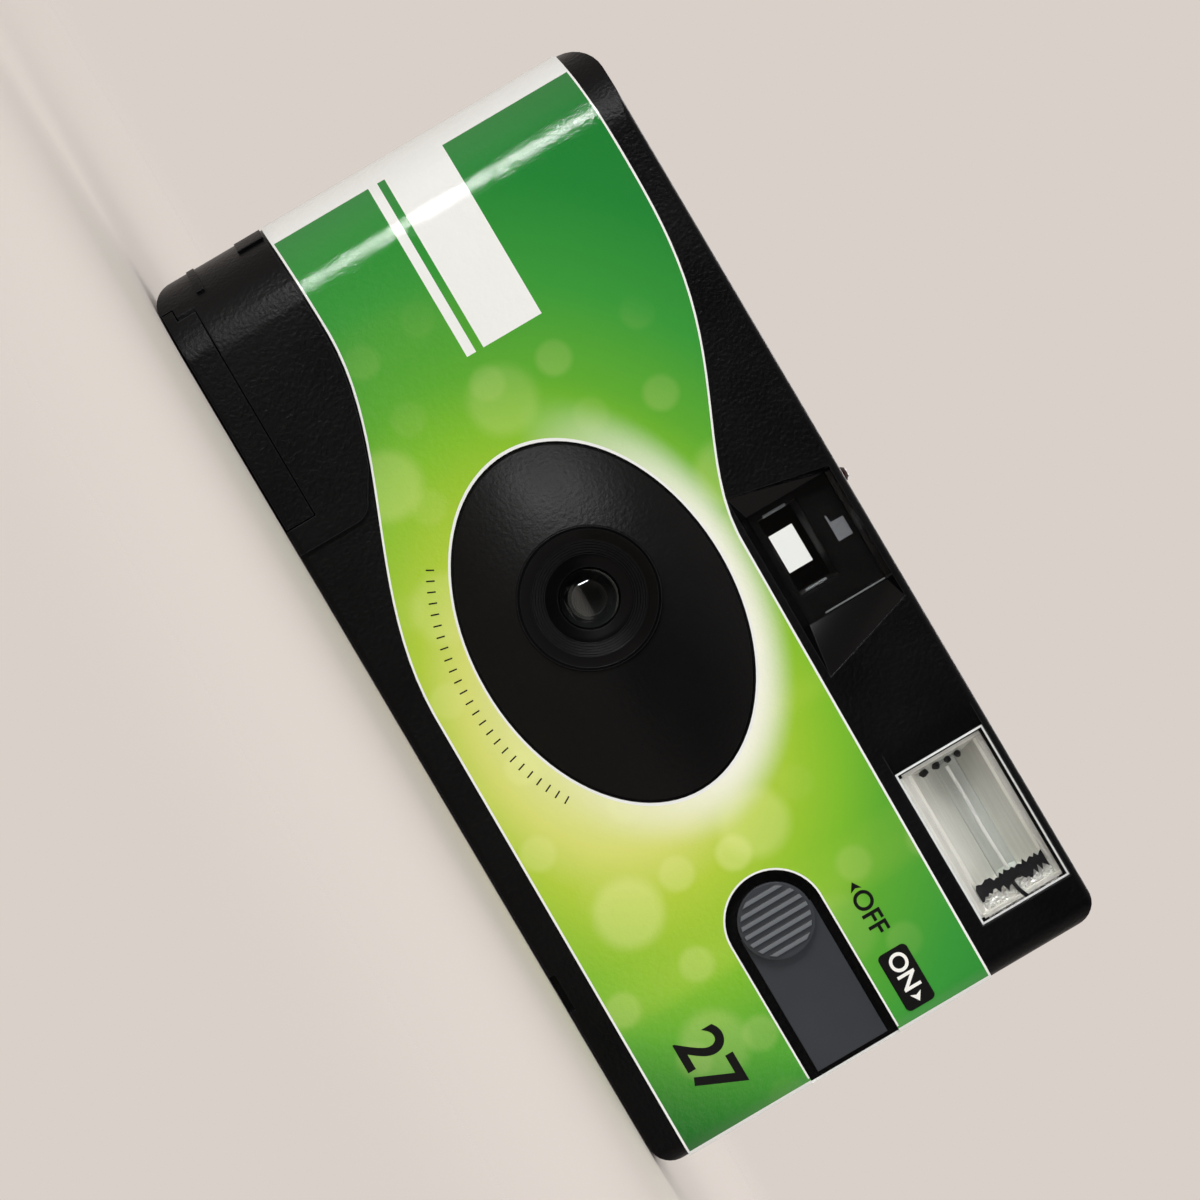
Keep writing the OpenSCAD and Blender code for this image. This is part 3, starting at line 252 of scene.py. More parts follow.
def overlay(material, share, tone):
    """Lays another tone over a finish, where and as strongly as share says."""
    tree, skin, _ = works(material)
    under = skin.inputs["Base Color"].links[0].from_socket
    tint = add(tree, "ShaderNodeMix", {0: share, 6: under, 7: linear(tone)}, data_type="RGBA")
    plug(tree, skin, {"Base Color": tint})


def patch(material, tone, boxes, bare=False):
    """Gives the places of a finish inside boxes another tone, and the shine of metal where they are bare."""
    tree, skin, place = works(material)
    inside = highest(tree, [inside_box(tree, place, low, high) for low, high in boxes])
    overlay(material, inside, tone)
    if bare:
        plug(tree, skin, {"Metallic": inside})


def both_ends(low, high, axis, deep_mm):
    """Boxes over the two ends of a can that lies along an axis, each of them deep_mm deep."""
    rest = axis * ((high - low).dot(axis) - deep_mm)
    return [(low, high - rest), (low + rest, high)]


can_low, can_high = box_mm("film_cassette")
rolled_end_mm = 1.6
patch(enamel, "#b9bbbd", both_ends(can_low, can_high, Vector((0, 0, 1)), rolled_end_mm), bare=True)
finish(matt_polystyrene, "cassette_spool", "supply_spool")
film_base = moulded("acetate_film_base", "#3a2a20", "#4a372a", gloss=0.18, grain_mm=3.0, relief_mm=0.001,
                    edge_mm=0.02)
finish(film_base, "film_strip", "film_roll")

# Film wheel: a thumb wheel of black polystyrene with coarse teeth, pushed into the cassette's spool.
# It is handled with every picture, so its teeth are a little polished.

worn_polystyrene = moulded("black_polystyrene_worn", "#101012", "#1a1a1d", gloss=0.36, grain_mm=0.3,
                           relief_mm=0.006, edge_mm=0.15, specular=0.4)
finish(worn_polystyrene, "film_wheel")

# Counter disc: a white acetal dial on the frame's pin, with black printed numbers from 0 to 27.
# The numbers and the small ticks round them are pad printed, and one number at a time shows in the window.

finish(acetal, "counter_disc")


def ink(name, tone):
    """Printing ink on a coated surface: an even film with a slight mottle from the screen."""
    material, tree, skin, place = start(name)
    screen_mm = 0.4
    mottle = add(tree, "ShaderNodeTexNoise", {"Vector": place, "Scale": 1 / (screen_mm * mm), "Detail": 3.0})
    shine = add(tree, "ShaderNodeMapRange", {0: mottle, 1: 0.3, 2: 0.7, 3: 0.3, 4: 0.42})
    plug(tree, skin, {"Base Color": linear(tone), "Roughness": shine, "Specular IOR Level": 0.25})
    return material


black_ink = ink("black_printing_ink", "#0a0a0a")
white_ink = ink("white_printing_ink", "#f1f1ec")
ink_mm = 0.02
capital_share = 0.69


def placed(name, data):
    """A new object of the scene."""
    made = bpy.data.objects.new(name, data)
    bpy.context.scene.collection.objects.link(made)
    return made


def plain_mesh(holder):
    """The mesh that an object gives once its curve or its modifiers are worked out. The object then goes."""
    seen = holder.evaluated_get(bpy.context.evaluated_depsgraph_get())
    mesh = bpy.data.meshes.new_from_object(seen)
    holder.modifiers.clear()
    bpy.data.objects.remove(holder)
    return mesh


def lettering(text, height_mm, place, bold_mm=0.0):
    """A word or number as a film of ink, its capitals height_mm high, centred and moved to its place."""
    curve = bpy.data.curves.new("letters", "FONT")
    curve.body = text
    curve.size = height_mm * mm / capital_share
    curve.align_x, curve.align_y = "CENTER", "CENTER"
    curve.extrude, curve.offset = ink_mm / 2 * mm, bold_mm * mm
    mesh = plain_mesh(placed("letters", curve))
    mesh.transform(place)
    return mesh


def as_mesh(form, name="form"):
    """The plain mesh of a form, which ends there."""
    mesh = bpy.data.meshes.new(name)
    form.to_mesh(mesh)
    form.free()
    return mesh


def piece(name, meshes, material, body):
    """Joins meshes into one piece that rides on a body."""
    form = bmesh.new()
    for mesh in meshes:
        form.from_mesh(mesh)
    joined = as_mesh(form, name)
    joined.materials.append(material)
    joined.polygons.foreach_set("material_index", [0] * len(joined.polygons))
    made = placed(name, joined)
    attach(made, body)
    return made


disc_low, disc_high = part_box("counter_disc")
dial = Matrix.Translation(((disc_low.x + disc_high.x) / 2, (disc_low.y + disc_high.y) / 2,
                           disc_high.z + ink_mm / 2 * mm))
number_r, number_turn, number_mm = 5.0 * mm, 30, 2.0
numbers = []
for step in range(10):
    turn = Matrix.Rotation(-math.radians(number_turn * step), 4, "Z")
    upright = Matrix.Translation((number_r, 0, 0)) @ Matrix.Rotation(math.pi, 4, "Z")
    numbers.append(lettering(str(3 * step), number_mm, dial @ turn @ upright))
piece("counter_numbers", numbers, black_ink, "counter")


def round_spot(tree, angle, across, up):
    """The two sides of a point at an angle on an ellipse with these radii."""
    sides = []
    for turn, radius in (("COSINE", across), ("SINE", up)):
        share = add(tree, "ShaderNodeMath", {0: angle}, operation=turn)
        sides.append(add(tree, "ShaderNodeMath", {0: share, 1: radius}, operation="MULTIPLY"))
    return sides


def tick_tree():
    """Short bars set at even steps along an arc of an ellipse, each square to it."""
    tree, given = growing_tree("ticks_on_an_arc", {
        "Count": "Int", "First angle": "Float", "Step": "Float", "Radius across": "Float",
        "Radius up": "Float", "Bar": "Vector", "Ink": "Material"})
    line = add(tree, "GeometryNodeMeshLine", {"Count": given["Count"], "Offset": (0, 0, 0)})
    index = add(tree, "GeometryNodeInputIndex")
    angle = add(tree, "ShaderNodeMath", {0: index, 1: given["Step"], 2: given["First angle"]},
                operation="MULTIPLY_ADD")
    across, up = round_spot(tree, angle, given["Radius across"], given["Radius up"])
    spot = add(tree, "ShaderNodeCombineXYZ", {"X": across, "Y": up})
    spread = add(tree, "GeometryNodeSetPosition", {"Geometry": line, "Position": spot})
    slope_x, slope_y = round_spot(tree, angle, given["Radius up"], given["Radius across"])
    lean = add(tree, "ShaderNodeMath", {0: slope_y, 1: slope_x}, operation="ARCTAN2")
    turn = add(tree, "ShaderNodeCombineXYZ", {"Z": lean})
    bar = add(tree, "GeometryNodeMeshCube", {"Size": given["Bar"]})
    set_out = add(tree, "GeometryNodeInstanceOnPoints", {"Points": spread, "Instance": bar, "Rotation": turn})
    real = add(tree, "GeometryNodeRealizeInstances", {0: set_out})
    inked = add(tree, "GeometryNodeSetMaterial", {"Geometry": real, "Material": given["Ink"]})
    add(tree, "NodeGroupOutput", {0: inked})
    return tree


ticks_on_an_arc = tick_tree()


def grown(tree, values):
    """The plain mesh that a geometry tree makes from these input values."""
    holder = placed("grown", bpy.data.meshes.new("grown"))
    modifier = holder.modifiers.new("grown", "NODES")
    modifier.node_group = tree
    for socket in tree.interface.items_tree:
        if socket.in_out == "INPUT":
            modifier[socket.identifier] = values[socket.name]
    return plain_mesh(holder)


tick_r = 6.8 * mm
dial_ticks = grown(ticks_on_an_arc, {
    "Count": 30, "First angle": 0.0, "Step": -math.radians(10), "Radius across": tick_r, "Radius up": tick_r,
    "Bar": (0.4 * mm, 0.14 * mm, ink_mm * mm), "Ink": black_ink})
dial_ticks.transform(dial)
piece("counter_ticks", [dial_ticks], black_ink, "counter")

# Finder lens and eyepiece: two blocks of clear acrylic at the ends of the frame's tube.
# They are pressed in. Two grey bars beside the front lens stand for the light reflected by the walls of the
# finder's tube: painted reflection.

eyepiece_acrylic = clear("clear_acrylic_block", "#f0fbff", haze=0.02)
finish(eyepiece_acrylic, "eyepiece")
weak_acrylic = clear("clear_acrylic_weak_lens", "#ffffff", haze=0.02, ior=1.06)
finish(weak_acrylic, "finder_lens")


def frosted(name, tone, pale, gloss):
    """Ground acrylic or raw paper: dull, and clouded by a second tone."""
    material, tree, skin, place = start(name)
    cloud_mm = 0.5
    cloud = add(tree, "ShaderNodeTexNoise", {"Vector": place, "Scale": 1 / (cloud_mm * mm), "Detail": 4.0})
    tint = add(tree, "ShaderNodeMix", {0: cloud, 6: linear(tone), 7: linear(pale)}, data_type="RGBA")
    plug(tree, skin, {"Base Color": tint, "Roughness": gloss})
    return material


def rounded_block(low, high, round_mm):
    """A box between two corners in millimetres, with rounded edges."""
    form = bmesh.new()
    bmesh.ops.create_cube(form, size=1.0)
    low, high = Vector(low), Vector(high)
    for vert in form.verts:
        vert.co = Vector((c + 0.5) * s for c, s in zip(vert.co, high - low)) + low
    bmesh.ops.bevel(form, geom=form.edges[:], offset=round_mm, segments=3, affect="EDGES", profile=0.5)
    bmesh.ops.scale(form, vec=(mm, mm, mm), verts=form.verts)
    return as_mesh(form)


# Painted reflection: grey bars for the light that the finder tube's walls reflect.
painted_highlight_grey = frosted("grey_acrylic_painted_highlight", "#5b5f61", "#74787a", gloss=0.5)
lens_low, lens_high = box_mm("finder_lens")
bar_front, bar_back = lens_low.y - 0.25, lens_low.y + 0.05
bar_foot, bar_round = 44.1, 0.1
finder_highlight_bars = [rounded_block((x0, bar_front, bar_foot), (x1, bar_back, top), bar_round)
               for x0, x1, top in ((lens_low.x - 0.2, lens_low.x + 0.15, 46.9),
                                   (lens_high.x - 0.32, lens_high.x, 46.7))]
piece("finder_lens_highlight_bars", finder_highlight_bars, painted_highlight_grey, "camera")

# Finder mask: a black card with a cut-out, slipped behind the finder's window so that the works behind it
# look dark: painted shade for the dark inside of the body.
# A small grey patch at its top stands for a patch of light seen through the pane: painted highlight.

window_low, window_high = box_mm("finder_window")


def turned_out(form):
    """The plain mesh of a form, its faces turned outwards."""
    bmesh.ops.recalc_face_normals(form, faces=form.faces[:])
    return as_mesh(form)


def thickened(form, step):
    """Gives a flat form in millimetres its thickness along step, and makes it a mesh in metres."""
    raised = bmesh.ops.extrude_face_region(form, geom=form.faces[:])["geom"]
    bmesh.ops.translate(form, vec=step, verts=[v for v in raised if isinstance(v, bmesh.types.BMVert)])
    bmesh.ops.scale(form, vec=(mm, mm, mm), verts=form.verts)
    return turned_out(form)


def plate(y_mm, thick_mm, *rings):
    """A flat plate in the x-z plane from its outline in millimetres, and from its hole if it has one."""
    form = bmesh.new()
    edges = []
    for ring in rings:
        verts = [form.verts.new((x, y_mm, z)) for x, z in ring]
        edges += [form.edges.new((verts[i - 1], verts[i])) for i in range(len(verts))]
    bmesh.ops.triangle_fill(form, edges=edges, use_beauty=True, normal=(0, -1, 0))
    return thickened(form, (0, thick_mm, 0))


def corners(x0, x1, z0, z1, grow=0.0):
    """The outline of a rectangle, larger on all sides by grow."""
    return [(x0 - grow, z0 - grow), (x1 + grow, z0 - grow), (x1 + grow, z1 + grow), (x0 - grow, z1 + grow)]


card_y, card_mm, light_patch_mm = window_high.y + 0.15, 0.15, 0.06
card = plate(card_y, card_mm, corners(window_low.x, window_high.x, window_low.z, window_high.z, 0.05),
             corners(lens_low.x - 0.5, lens_high.x + 0.4, lens_low.z - 0.2, lens_high.z + 0.2))
# Painted shade: the black card darkens what shows behind the finder's window.
black_card_painted_shade = moulded("black_card_painted_shade", "#030303", "#050505", gloss=0.8, grain_mm=0.2, relief_mm=0.01,
                     edge_mm=0.05, specular=0.05)
piece("finder_mask", [card], black_card_painted_shade, "camera")
# Painted highlight: a grey patch for light seen through the pane.
light_patch_outline = [(3.0, 49.8), (6.1, 49.8), (6.1, 51.5), (3.95, 51.5), (3.9, 50.05), (3.1, 49.95)]
light_patch_plate = plate(card_y - light_patch_mm - 0.02, light_patch_mm, light_patch_outline)
light_patch_grey = frosted("grey_patch_painted_highlight", "#5e6165", "#74777b", gloss=0.6)
piece("finder_light_patch", [light_patch_plate], light_patch_grey, "camera")

# Circuit board with its capacitor and transformer: the flash charger behind the right half of the front.
# The board is brown phenolic paper with copper tracks, the capacitor has a dark shrink sleeve, and the
# transformer is copper wire on a ferrite core, soaked in varnish.

phenolic = moulded("phenolic_paper_board", "#6b4a22", "#815c2e", gloss=0.45, grain_mm=0.6, relief_mm=0.01,
                   edge_mm=0.05)
finish(phenolic, "circuit_board")
board_low, board_high = box_mm("circuit_board")
board = board_high - board_low
tracks = []
for along, up, wide, high in ((0.1, 0.12, 0.3, 0.05), (0.3, 0.3, 0.05, 0.4), (0.5, 0.2, 0.35, 0.05),
                              (0.7, 0.45, 0.2, 0.06), (0.62, 0.62, 0.05, 0.25), (0.15, 0.75, 0.35, 0.06)):
    near_corner = board_low + Vector((along * board.x, -0.1, up * board.z))
    tracks.append((near_corner, near_corner + Vector((wide * board.x, board.y + 0.2, high * board.z))))
patch(phenolic, "#b87a45", tracks, bare=True)
sleeve = moulded("shrink_sleeve", "#15181d", "#1d2128", gloss=0.25, grain_mm=4.0, relief_mm=0.01, edge_mm=0.2)
finish(sleeve, "flash_capacitor")
sleeve_low, sleeve_high = box_mm("flash_capacitor")
beside_stripe = Vector((0, 0, (sleeve_high.z - sleeve_low.z) * 0.4))
patch(sleeve, "#8d9096", [(sleeve_low + beside_stripe, sleeve_high - beside_stripe)])
winding = moulded("varnished_copper_winding", "#5a2f14", "#7a4520", gloss=0.3, grain_mm=0.25, relief_mm=0.05,
                  edge_mm=0.1)
finish(winding, "flash_transformer")

# Flash tube and reflector: a xenon tube of clear glass in a trough of aluminium sheet with flared lips.
# The sheet is bright anodised, a little milky, with faint rolling streaks along the tube.
# Black sealant holds the tube, a trigger wire lies along it, painted near white as the tube's highlight line,
# and torn tape and foil close the far end.

bright_aluminium = metal("bright_anodised_aluminium", "#d8d7ce", "#fbfaf3", gloss=0.2, streak_mm=0.35,
                         stretch=(0.06, 1, 1), metallic=0.2)
finish(bright_aluminium, "flash_reflector")
tube_glass = clear("xenon_tube_glass", "#f2f6f6", haze=0.03, ior=1.47)
finish(tube_glass, "flash_tube", "neon_lamp")


def bar_through(sections):
    """A closed bar through rings of points in millimetres."""
    form = bmesh.new()
    rings = [[form.verts.new(Vector(point) * mm) for point in section] for section in sections]
    for before, after in zip(rings, rings[1:]):
        for i in range(len(before)):
            form.faces.new((before[i - 1], before[i], after[i], after[i - 1]))
    form.faces.new(rings[0])
    form.faces.new(rings[-1])
    return turned_out(form)


mirror_low, mirror_high = box_mm("flash_reflector")
tube_z = (mirror_low.z + mirror_high.z) / 2
lip_ends = (mirror_low.x + 0.3, mirror_high.x - 0.2)
lip_section = [(-10.72, 5.25), (-9.85, 3.75), (-9.7, 3.85), (-10.57, 5.3)]
lips = [bar_through([[(x, y, tube_z + side * z) for y, z in lip_section] for x in lip_ends])
        for side in (1, -1)]
piece("reflector_lips", lips, bright_aluminium, "camera")

shaker = random.Random(7)
rows, columns = 30, 10
foil_start = Vector((46.3, -10.15, tube_z - 4.3))
foil_across, foil_up = Vector((2.1, -0.3, 0)), Vector((0, 0, 8.6))
crumple = (0.1, 0.2, 0.1)
form = bmesh.new()
grid = []
for r in range(rows + 1):
    grid.append([])
    for c in range(columns + 1):
        smooth_spot = foil_start + foil_across * c / columns + foil_up * r / rows
        shaken = Vector([shaker.uniform(-most, most) for most in crumple])
        grid[r].append(form.verts.new((smooth_spot + shaken) * mm))
for r in range(rows):
    for c in range(columns):
        form.faces.new([grid[r][c], grid[r][c + 1], grid[r + 1][c + 1], grid[r + 1][c]])
bmesh.ops.triangulate(form, faces=form.faces[:])
foil = metal("crumpled_foil", "#d6d7d2", "#f0f0ea", gloss=0.25, streak_mm=0.6, stretch=(1, 1, 1),
             metallic=0.4)
piece("end_foil", [turned_out(form)], foil, "camera")

torn_z = [tube_z - 4.1 + 0.28 * k for k in range(30)]
torn_left = [(44.75 + shaker.uniform(-0.15, 0.5), z) for z in torn_z]
torn_right = [(46.75 + shaker.uniform(-0.75, 0.35), z) for z in reversed(torn_z)]
torn_y, torn_mm = -10.72, 0.1
sealant = [plate(torn_y, torn_mm, torn_left + torn_right)]
bead_x, bead_y, bead_wide, bead_deep = 31.8, -8.3, 0.42, 0.35
for bead_z, bead_high in ((49.2, 0.42), (48.0, 0.4), (46.6, 0.5), (45.1, 0.55)):
    form = bmesh.new()
    bmesh.ops.create_icosphere(form, subdivisions=2, radius=1.0)
    for vert in form.verts:
        vert.co *= shaker.uniform(0.85, 1.1)
    bead = as_mesh(form)
    bead.transform(Matrix.Translation(Vector((bead_x, bead_y, bead_z)) * mm)
                   @ Matrix.Diagonal((bead_wide * mm, bead_deep * mm, bead_high * mm, 1)))
    sealant.append(bead)
black_sealant = moulded("black_silicone_sealant", "#08080a", "#121217", gloss=0.35, grain_mm=0.3,
                        relief_mm=0.02, edge_mm=0.05, specular=0.4)
piece("tube_sealant", sealant, black_sealant, "camera")


def wire(points, radius_mm):
    """A round wire through points in millimetres."""
    curve = bpy.data.curves.new("wire", "CURVE")
    curve.dimensions = "3D"
    curve.bevel_depth, curve.bevel_resolution, curve.use_fill_caps = radius_mm * mm, 3, True
    run = curve.splines.new("BEZIER")
    run.bezier_points.add(len(points) - 1)
    for point, spot in zip(run.bezier_points, points):
        point.co = Vector(spot) * mm
        point.handle_left_type = point.handle_right_type = "AUTO"
    return plain_mesh(placed("wire", curve))


lead_r, trigger_r = 0.22, 0.2
tube_lead = wire([(46.3, -10.7, 47.3), (47.4, -10.8, 47.5), (48.4, -10.7, 47.9)], lead_r)
piece("tube_lead", [tube_lead], black_sealant, "camera")
# Painted highlight: the near-white trigger wire stands for the bright line along the tube.
trigger = wire([(32.4, -8.02, tube_z), (36, -8.0, tube_z + 0.06), (40, -8.0, tube_z - 0.02),
                (44.9, -8.02, tube_z + 0.1)], trigger_r)
trigger_wire_white_highlight = metal("trigger_wire_painted_highlight", "#e8e8e4", "#fafaf6", gloss=0.3, streak_mm=0.5, stretch=(0.2, 1, 1),
                    metallic=0.2)
piece("trigger_wire", [trigger], trigger_wire_white_highlight, "camera")

# Lamp pipe: a bent rod of orange acrylic that carries the ready lamp's glow to the top edge.
# A small turned cap of dark amber acrylic is pressed on its end, and stands out of the top.

orange_acrylic = clear("orange_acrylic", "#ff7a1c", haze=0.3, transmission=0.5)
finish(orange_acrylic, "lamp_pipe")
cap_middle = Vector((0.2, -4.25, 0)) * mm
cap_profile = [(0.0, 54.55), (0.3, 54.52), (0.58, 54.4), (0.78, 54.15), (0.85, 53.85), (0.0, 53.85)]
form = bmesh.new()
line = [form.verts.new(cap_middle + Vector((r, 0, z)) * mm) for r, z in cap_profile]
edges = [form.edges.new(pair) for pair in zip(line, line[1:])]
bmesh.ops.spin(form, geom=line + edges, cent=cap_middle, axis=(0, 0, 1), angle=math.tau, steps=40)
bmesh.ops.remove_doubles(form, verts=form.verts[:], dist=1e-6)
amber_acrylic = clear("dark_amber_acrylic", "#421a06", haze=0.1)
piece("ready_lamp_cap", [turned_out(form)], amber_acrylic, "camera")

# Battery and its contacts: an AAA cell in a plain printed wrap, with bare steel at both ends.
# Two leaves of tinned steel sheet, clipped to the frame, press on its ends.

tinned_steel = metal("tinned_steel_sheet", "#a6a9ac", "#c9cbcd", gloss=0.28, streak_mm=0.7,
                     stretch=(1, 1, 0.2))
finish(tinned_steel, "battery_spring", "battery_plate")
cell_wrap = moulded("printed_cell_wrap", "#1f5f3c", "#2a7049", gloss=0.25, grain_mm=3.0, relief_mm=0.003,
                    edge_mm=0.2)
finish(cell_wrap, "battery")
cell_low, cell_high = box_mm("battery")
cell_axis = Vector((1, 0, 0))
green_part = cell_axis * (cell_high.x - cell_low.x) * 0.7
steel_end_mm = 1.6
patch(cell_wrap, "#15171a", [(cell_low, cell_high - green_part)])
patch(cell_wrap, "#b4b6b8", both_ends(cell_low, cell_high, cell_axis, steel_end_mm), bare=True)

# Front cover: the outer shell of black polystyrene, with a fine etched grain, and edges painted paler both as
# rubbing wear and as painted highlight.
# Its mould is polished at the recess of the finder, which looks deep black, and it snaps onto the rear half.


def pale_rubbed_and_highlit_edges(material, tone):
    """Gives a moulding's edges a paler tone where their rounding turns away from the flat: rubbing wear and
    painted highlight.
    """
    tree = material.node_tree
    facing = add(tree, "ShaderNodeNewGeometry").outputs["Normal"]
    flatness = add(tree, "ShaderNodeVectorMath", {0: tree.nodes["Bevel"], 1: facing}, operation="DOT_PRODUCT")
    overlay(material, add(tree, "ShaderNodeMapRange", {0: flatness, 1: 0.97, 2: 0.78}), tone)


def polish(material, low, high, gloss):
    """Takes the etched grain off a moulding inside a box, and gives that place another gloss."""
    tree, skin, place = works(material)
    smooth = inside_box(tree, place, low, high)
    etched = add(tree, "ShaderNodeMath", {0: 1.0, 1: smooth}, operation="SUBTRACT")
    plug(tree, tree.nodes["Bump"], {"Strength": etched})
    under = skin.inputs["Roughness"].links[0].from_socket
    plug(tree, skin, {"Roughness": add(tree, "ShaderNodeMix", {0: smooth, 2: under, 3: gloss})})


shell_polystyrene = moulded("black_polystyrene_etched", black, off_black, gloss=0.36, grain_mm=0.42,
                            relief_mm=0.07, edge_mm=0.2, specular=0.14)
# Paler edges: rubbing wear and painted highlight.
pale_rubbed_and_highlit_edges(shell_polystyrene, "#26272a")
recess_low, recess_high = (-4.5, -12.44, 41), (19, -8, 53)
polish(shell_polystyrene, recess_low, recess_high, gloss=0.16)
finish(shell_polystyrene, "front_cover")

# Latches at the grip end: two tabs of the front cover, in the same black polystyrene.
# They are moulded on its rounded end and snap over the rear half to hold the shell shut.

end_middle, end_r = Vector((-43.5, -2.7)), 10.5
tab_sunk, tab_proud = 0.2, 0.12


def end_tab(first, last, z0, z1):
    """A tab on the rounded end, between two angles from the end towards the front and two heights."""
    sections = []
    steps = 8
    for k in range(steps + 1):
        angle = math.radians(first + (last - first) * k / steps)
        out = Vector((-math.cos(angle), -math.sin(angle)))
        deep, proud = end_middle + out * (end_r - tab_sunk), end_middle + out * (end_r + tab_proud)
        sections.append([(*deep, z0), (*proud, z0), (*proud, z1), (*deep, z1)])
    return bar_through(sections)


latches = [end_tab(16, 30, 10.5, 13.6), end_tab(16, 45, 4.6, 5.5)]
piece("end_latches", latches, shell_polystyrene, "camera")

# Lens shroud and lens ring: a low oval dome clipped into the cover from behind, and a stepped funnel in it.
# Both are black polystyrene, the dome etched like the cover and the funnel smooth, with fine turned steps.

shroud_polystyrene = moulded("black_polystyrene_shroud", black, off_black, gloss=0.4, grain_mm=0.45,
                             relief_mm=0.045, edge_mm=0.15, specular=0.17)
finish(shroud_polystyrene, "lens_shroud")
smooth_polystyrene = moulded("black_polystyrene_smooth", black, off_black, gloss=0.22, grain_mm=0.4,
                             relief_mm=0.002, edge_mm=0.14, specular=0.1)
# The ring's edges are painted paler too: rubbing wear and painted highlight.
pale_rubbed_and_highlit_edges(smooth_polystyrene, "#3c3c3e")
finish(smooth_polystyrene, "lens_ring")

# Windows of the finder, the flash and the counter: flat panes of clear acrylic, snapped into the cover.
# Pale strips laid on the finder pane's right edge and round the flash pane stand for the thin lines of light
# that their cut edges catch: painted highlight.

pane_acrylic = clear("clear_acrylic_pane", "#ffffff", haze=0.02)
finish(pane_acrylic, "finder_window", "flash_window", "counter_window")
# Painted highlight: a grey strip along the finder pane's right edge.
finder_edge = rounded_block((window_high.x - 0.26, window_low.y - 0.06, 44.7),
                            (window_high.x - 0.08, window_low.y + 0.06, 52.0), 0.05)
piece("finder_pane_edge_highlight", [finder_edge], painted_highlight_grey, "camera")
# Painted highlight: a pale frame round the flash pane.
pale_edge_painted_highlight = frosted("frosted_edge_painted_highlight", "#d9dddd", "#f4f6f6", gloss=0.4)
flash_front = box_mm("flash_window")[0].y - 0.02
flash_pane, edge_wide, edge_deep = (30.3, 48.6, 42.25, 52.85), 0.22, 0.1
flash_edge = plate(flash_front, edge_deep, corners(*flash_pane), corners(*flash_pane, -edge_wide))
piece("flash_pane_edge_highlight", [flash_edge], pale_edge_painted_highlight, "camera")

# Flash switch: a strip with a ribbed round knob, moulded in slate grey ABS.
# It runs in an open slot in the front cover, and the tops of its ribs are painted paler, as painted
# highlight.

slate_abs = moulded("slate_grey_abs", "#2c3035", "#34383e", gloss=0.4, grain_mm=0.3, relief_mm=0.01,
                    edge_mm=0.22, specular=0.4)
rib_top = -13.4
# Painted highlight: the knob's rib tops are paler.
patch(slate_abs, "#666a6f", [((30, rib_top - 0.1, 15), (45, rib_top + 0.12, 32))])
finish(slate_abs, "flash_switch")

# Rear cover and film door: the back half of the shell, in black polystyrene etched like the front.
# The door under the cassette is moulded in one with the cover and swings on a thin hinge.

finish(shell_polystyrene, "rear_cover", "film_door")

# Shutter button: a dished cap of black polystyrene on a stem, pushed up by a coil of steel wire.
# The coil has four and a half open turns between closed ends. The real coil is squeezed when the button is
# pressed; this one stands at its resting length.

finish(worn_polystyrene, "shutter_button")
finish(spring_wire, "button_spring")


def coil_tree():
    """A compression spring: a round wire wound on a helix, its first and last turns flat."""
    tree, given = growing_tree("coil_with_closed_ends", {
        "Points": "Int", "Turns": "Float", "Radius": "Float", "Rise": "Float", "Wire": "Float",
        "Steel": "Material"})
    line = add(tree, "GeometryNodeMeshLine", {"Count": given["Points"], "Offset": (0, 0, 0)})
    index = add(tree, "GeometryNodeInputIndex")
    share = add(tree, "ShaderNodeMath", {0: index, 1: given["Points"]}, operation="DIVIDE")
    turned = add(tree, "ShaderNodeMath", {0: share, 1: given["Turns"]}, operation="MULTIPLY")
    angle = add(tree, "ShaderNodeMath", {0: turned, 1: math.tau}, operation="MULTIPLY")
    last = add(tree, "ShaderNodeMath", {0: given["Turns"], 1: 1.0}, operation="SUBTRACT")
    climb = add(tree, "ShaderNodeMapRange", {0: turned, 1: 1.0, 2: last, 3: 0.0, 4: given["Rise"]})
    across, deep = round_spot(tree, angle, given["Radius"], given["Radius"])
    spot = add(tree, "ShaderNodeCombineXYZ", {"X": across, "Y": deep, "Z": climb})
    wound = add(tree, "GeometryNodeSetPosition", {"Geometry": line, "Position": spot})
    path = add(tree, "GeometryNodeMeshToCurve", {0: wound})
    ring = add(tree, "GeometryNodeCurvePrimitiveCircle", {"Resolution": 10, "Radius": given["Wire"]})
    drawn = add(tree, "GeometryNodeCurveToMesh", {"Curve": path, "Profile Curve": ring, "Fill Caps": True})
    real = add(tree, "GeometryNodeRealizeInstances", {0: drawn})
    steel = add(tree, "GeometryNodeSetMaterial", {"Geometry": real, "Material": given["Steel"]})
    add(tree, "NodeGroupOutput", {0: steel})
    return tree


spring_low, spring_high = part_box("button_spring")
spring_x, spring_y = (spring_low.x + spring_high.x) / 2, (spring_low.y + spring_high.y) / 2
spring_length = spring_high.z - spring_low.z
spring_wire_r = 0.25 * mm
coil = grown(coil_tree(), {
    "Points": 220, "Turns": 6.5, "Radius": (spring_high.x - spring_low.x) / 2 - spring_wire_r,
    "Rise": spring_length - 2 * spring_wire_r, "Wire": spring_wire_r, "Steel": spring_wire})
coil.transform(Matrix.Translation((spring_x, spring_y, spring_low.z + spring_wire_r)))
button_coil = piece("button_coil", [coil], spring_wire, "camera")
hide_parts("button_spring")
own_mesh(button_coil)

# Front label: coated paper, printed in green and lime and varnished, wrapped round the front and both ends.
# It is die cut along a wavy edge, round the shroud and round the switch, with a thin white margin.
# The panel and the stripe at the grip end are bare white paper.

label_low, label_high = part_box("front_label")
label_w = 108
paper_white = "#f0f1ee"
label_paper, tree, skin, place = start("varnished_label_paper")
flat = add(tree, "ShaderNodeSeparateXYZ", {0: place}).outputs

